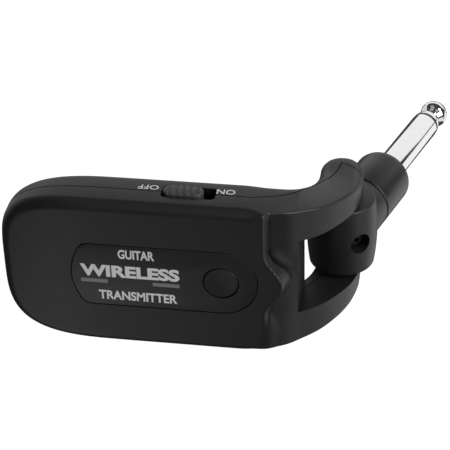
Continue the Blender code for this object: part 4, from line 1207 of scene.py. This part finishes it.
# ---- Stage --------------------------------------------------------------------------
@dataclass
class Studio:
    """A pale floor, soft lights and the camera."""

    elevation: float = math.radians(34.06)
    heading: float = math.radians(10.16)
    roll: float = math.radians(-1.81)
    distance: float = 0.373
    offset: Point = (0.02508, -0.000422)
    lens: float = 139.35
    floor_z: float = -17.75 * MM

    def build(self) -> None:
        """Set the whole stage."""
        self.camera()
        self.floor()
        self.world()
        for name, way, distance, width, height, brightness in (
                ("back_wall", (0.10, 0.92, 0.35), 1.0, 1.90, 0.72, 0.92),
                ("left", (-0.88, 0.45, 0.12), 1.0, 0.90, 0.90, 0.70),
                ("low_right", (0.72, 0.50, -0.42), 1.0, 0.90, 0.80, 0.95),
                ("front_right", (0.80, -0.28, -0.55), 0.8, 0.45, 0.45, 0.75),
                ("front_left", (-0.175, -0.22, -0.235), 0.34, 0.15, 0.15, 1.35),
                ("front", (0.146, -0.816, 0.56), 0.9, 0.80, 0.80, 0.40),
                ("right_fill", (0.80, -0.55, 0.25), 0.9, 0.50, 0.50, 5.00),
                ("front_top", (0.66, -0.22, 0.72), 0.9, 0.26, 0.26, 14.0),
                ("overhead", (-0.30, -0.10, 0.95), 0.9, 0.60, 0.40, 0.30)):
            self.soft_light(name, Vector(way).normalized() * distance, (width, height), brightness)

    def directions(self) -> tuple[Vector, Vector, Vector]:
        """The view's right, up and forward directions."""
        right = Vector((math.cos(self.heading), math.sin(self.heading), 0))
        level = Vector((-math.sin(self.heading), math.cos(self.heading), 0))
        forward = level * math.cos(self.elevation) - Vector((0, 0, math.sin(self.elevation)))
        up = level * math.sin(self.elevation) + Vector((0, 0, math.cos(self.elevation)))
        return (right * math.cos(self.roll) + up * math.sin(self.roll),
                up * math.cos(self.roll) - right * math.sin(self.roll), forward)

    def camera(self) -> None:
        """Place the camera."""
        right, up, forward = self.directions()
        data = bpy.data.cameras.new("camera")
        data.lens = self.lens
        data.sensor_width = 36.0
        data.clip_start = 0.01
        made = bpy.data.objects.new("camera", data)
        turn = Matrix((right, up, -forward)).transposed().to_4x4()
        centre = HINGE - right * self.offset[0] - up * self.offset[1] - forward * self.distance
        made.matrix_world = Matrix.Translation(centre) @ turn
        bpy.context.scene.collection.objects.link(made)
        bpy.context.scene.camera = made

    def floor(self) -> None:
        """A wide pale floor under the housing's side."""
        work = bmesh.new()
        bmesh.ops.create_grid(work, x_segments=1, y_segments=1, size=3.0)
        bmesh.ops.translate(work, verts=work.verts, vec=(0, 0, self.floor_z))
        made = Bench.hold(work, "floor")
        paint = bpy.data.materials.new("floor_paint")
        paint.use_nodes = True
        shader = paint.node_tree.nodes["Principled BSDF"]
        shader.inputs["Base Color"].default_value = (0.1, 0.1, 0.1, 1)
        shader.inputs["Roughness"].default_value = 0.9
        shader.inputs["Emission Color"].default_value = (1, 1, 1, 1)
        shader.inputs["Emission Strength"].default_value = 1.0
        made.data.materials.append(paint)
        made.visible_glossy = made.visible_diffuse = made.visible_shadow = False

    def world(self) -> None:
        """A white surround."""
        world = bpy.data.worlds.new("surround")
        world.use_nodes = True
        world.node_tree.nodes["Background"].inputs["Color"].default_value = (1, 1, 1, 1)
        world.node_tree.nodes["Background"].inputs["Strength"].default_value = 0.05
        bpy.context.scene.world = world
        bpy.context.scene.view_settings.view_transform = "Standard"

    @staticmethod
    def soft_light(name: str, place: Vector, size: Point, brightness: float) -> None:
        """Hang a soft panel that faces the object.

        Args:
            name: Its name.
            place: Where it hangs, about the hinge axis.
            size: Its width and height.
            brightness: Its radiance.
        """
        data = bpy.data.lights.new(name, "AREA")
        data.shape, data.size, data.size_y = "RECTANGLE", size[0], size[1]
        data.energy = brightness * math.pi * size[0] * size[1]
        made = bpy.data.objects.new(name, data)
        made.location = HINGE + place
        made.rotation_mode = "QUATERNION"
        made.rotation_quaternion = (-place).to_track_quat("-Z", "Y")
        bpy.context.scene.collection.objects.link(made)


def main() -> None:
    """Build every sub-assembly, then the stage."""
    logging.basicConfig(level=logging.INFO, format="%(message)s")
    controls, housing = Controls(), Housing()
    housing.build(controls)
    housing.screws()
    controls.build()
    Plug().build()
    Inside.dress()
    Studio().build()


if __name__ == "__main__":
    main()
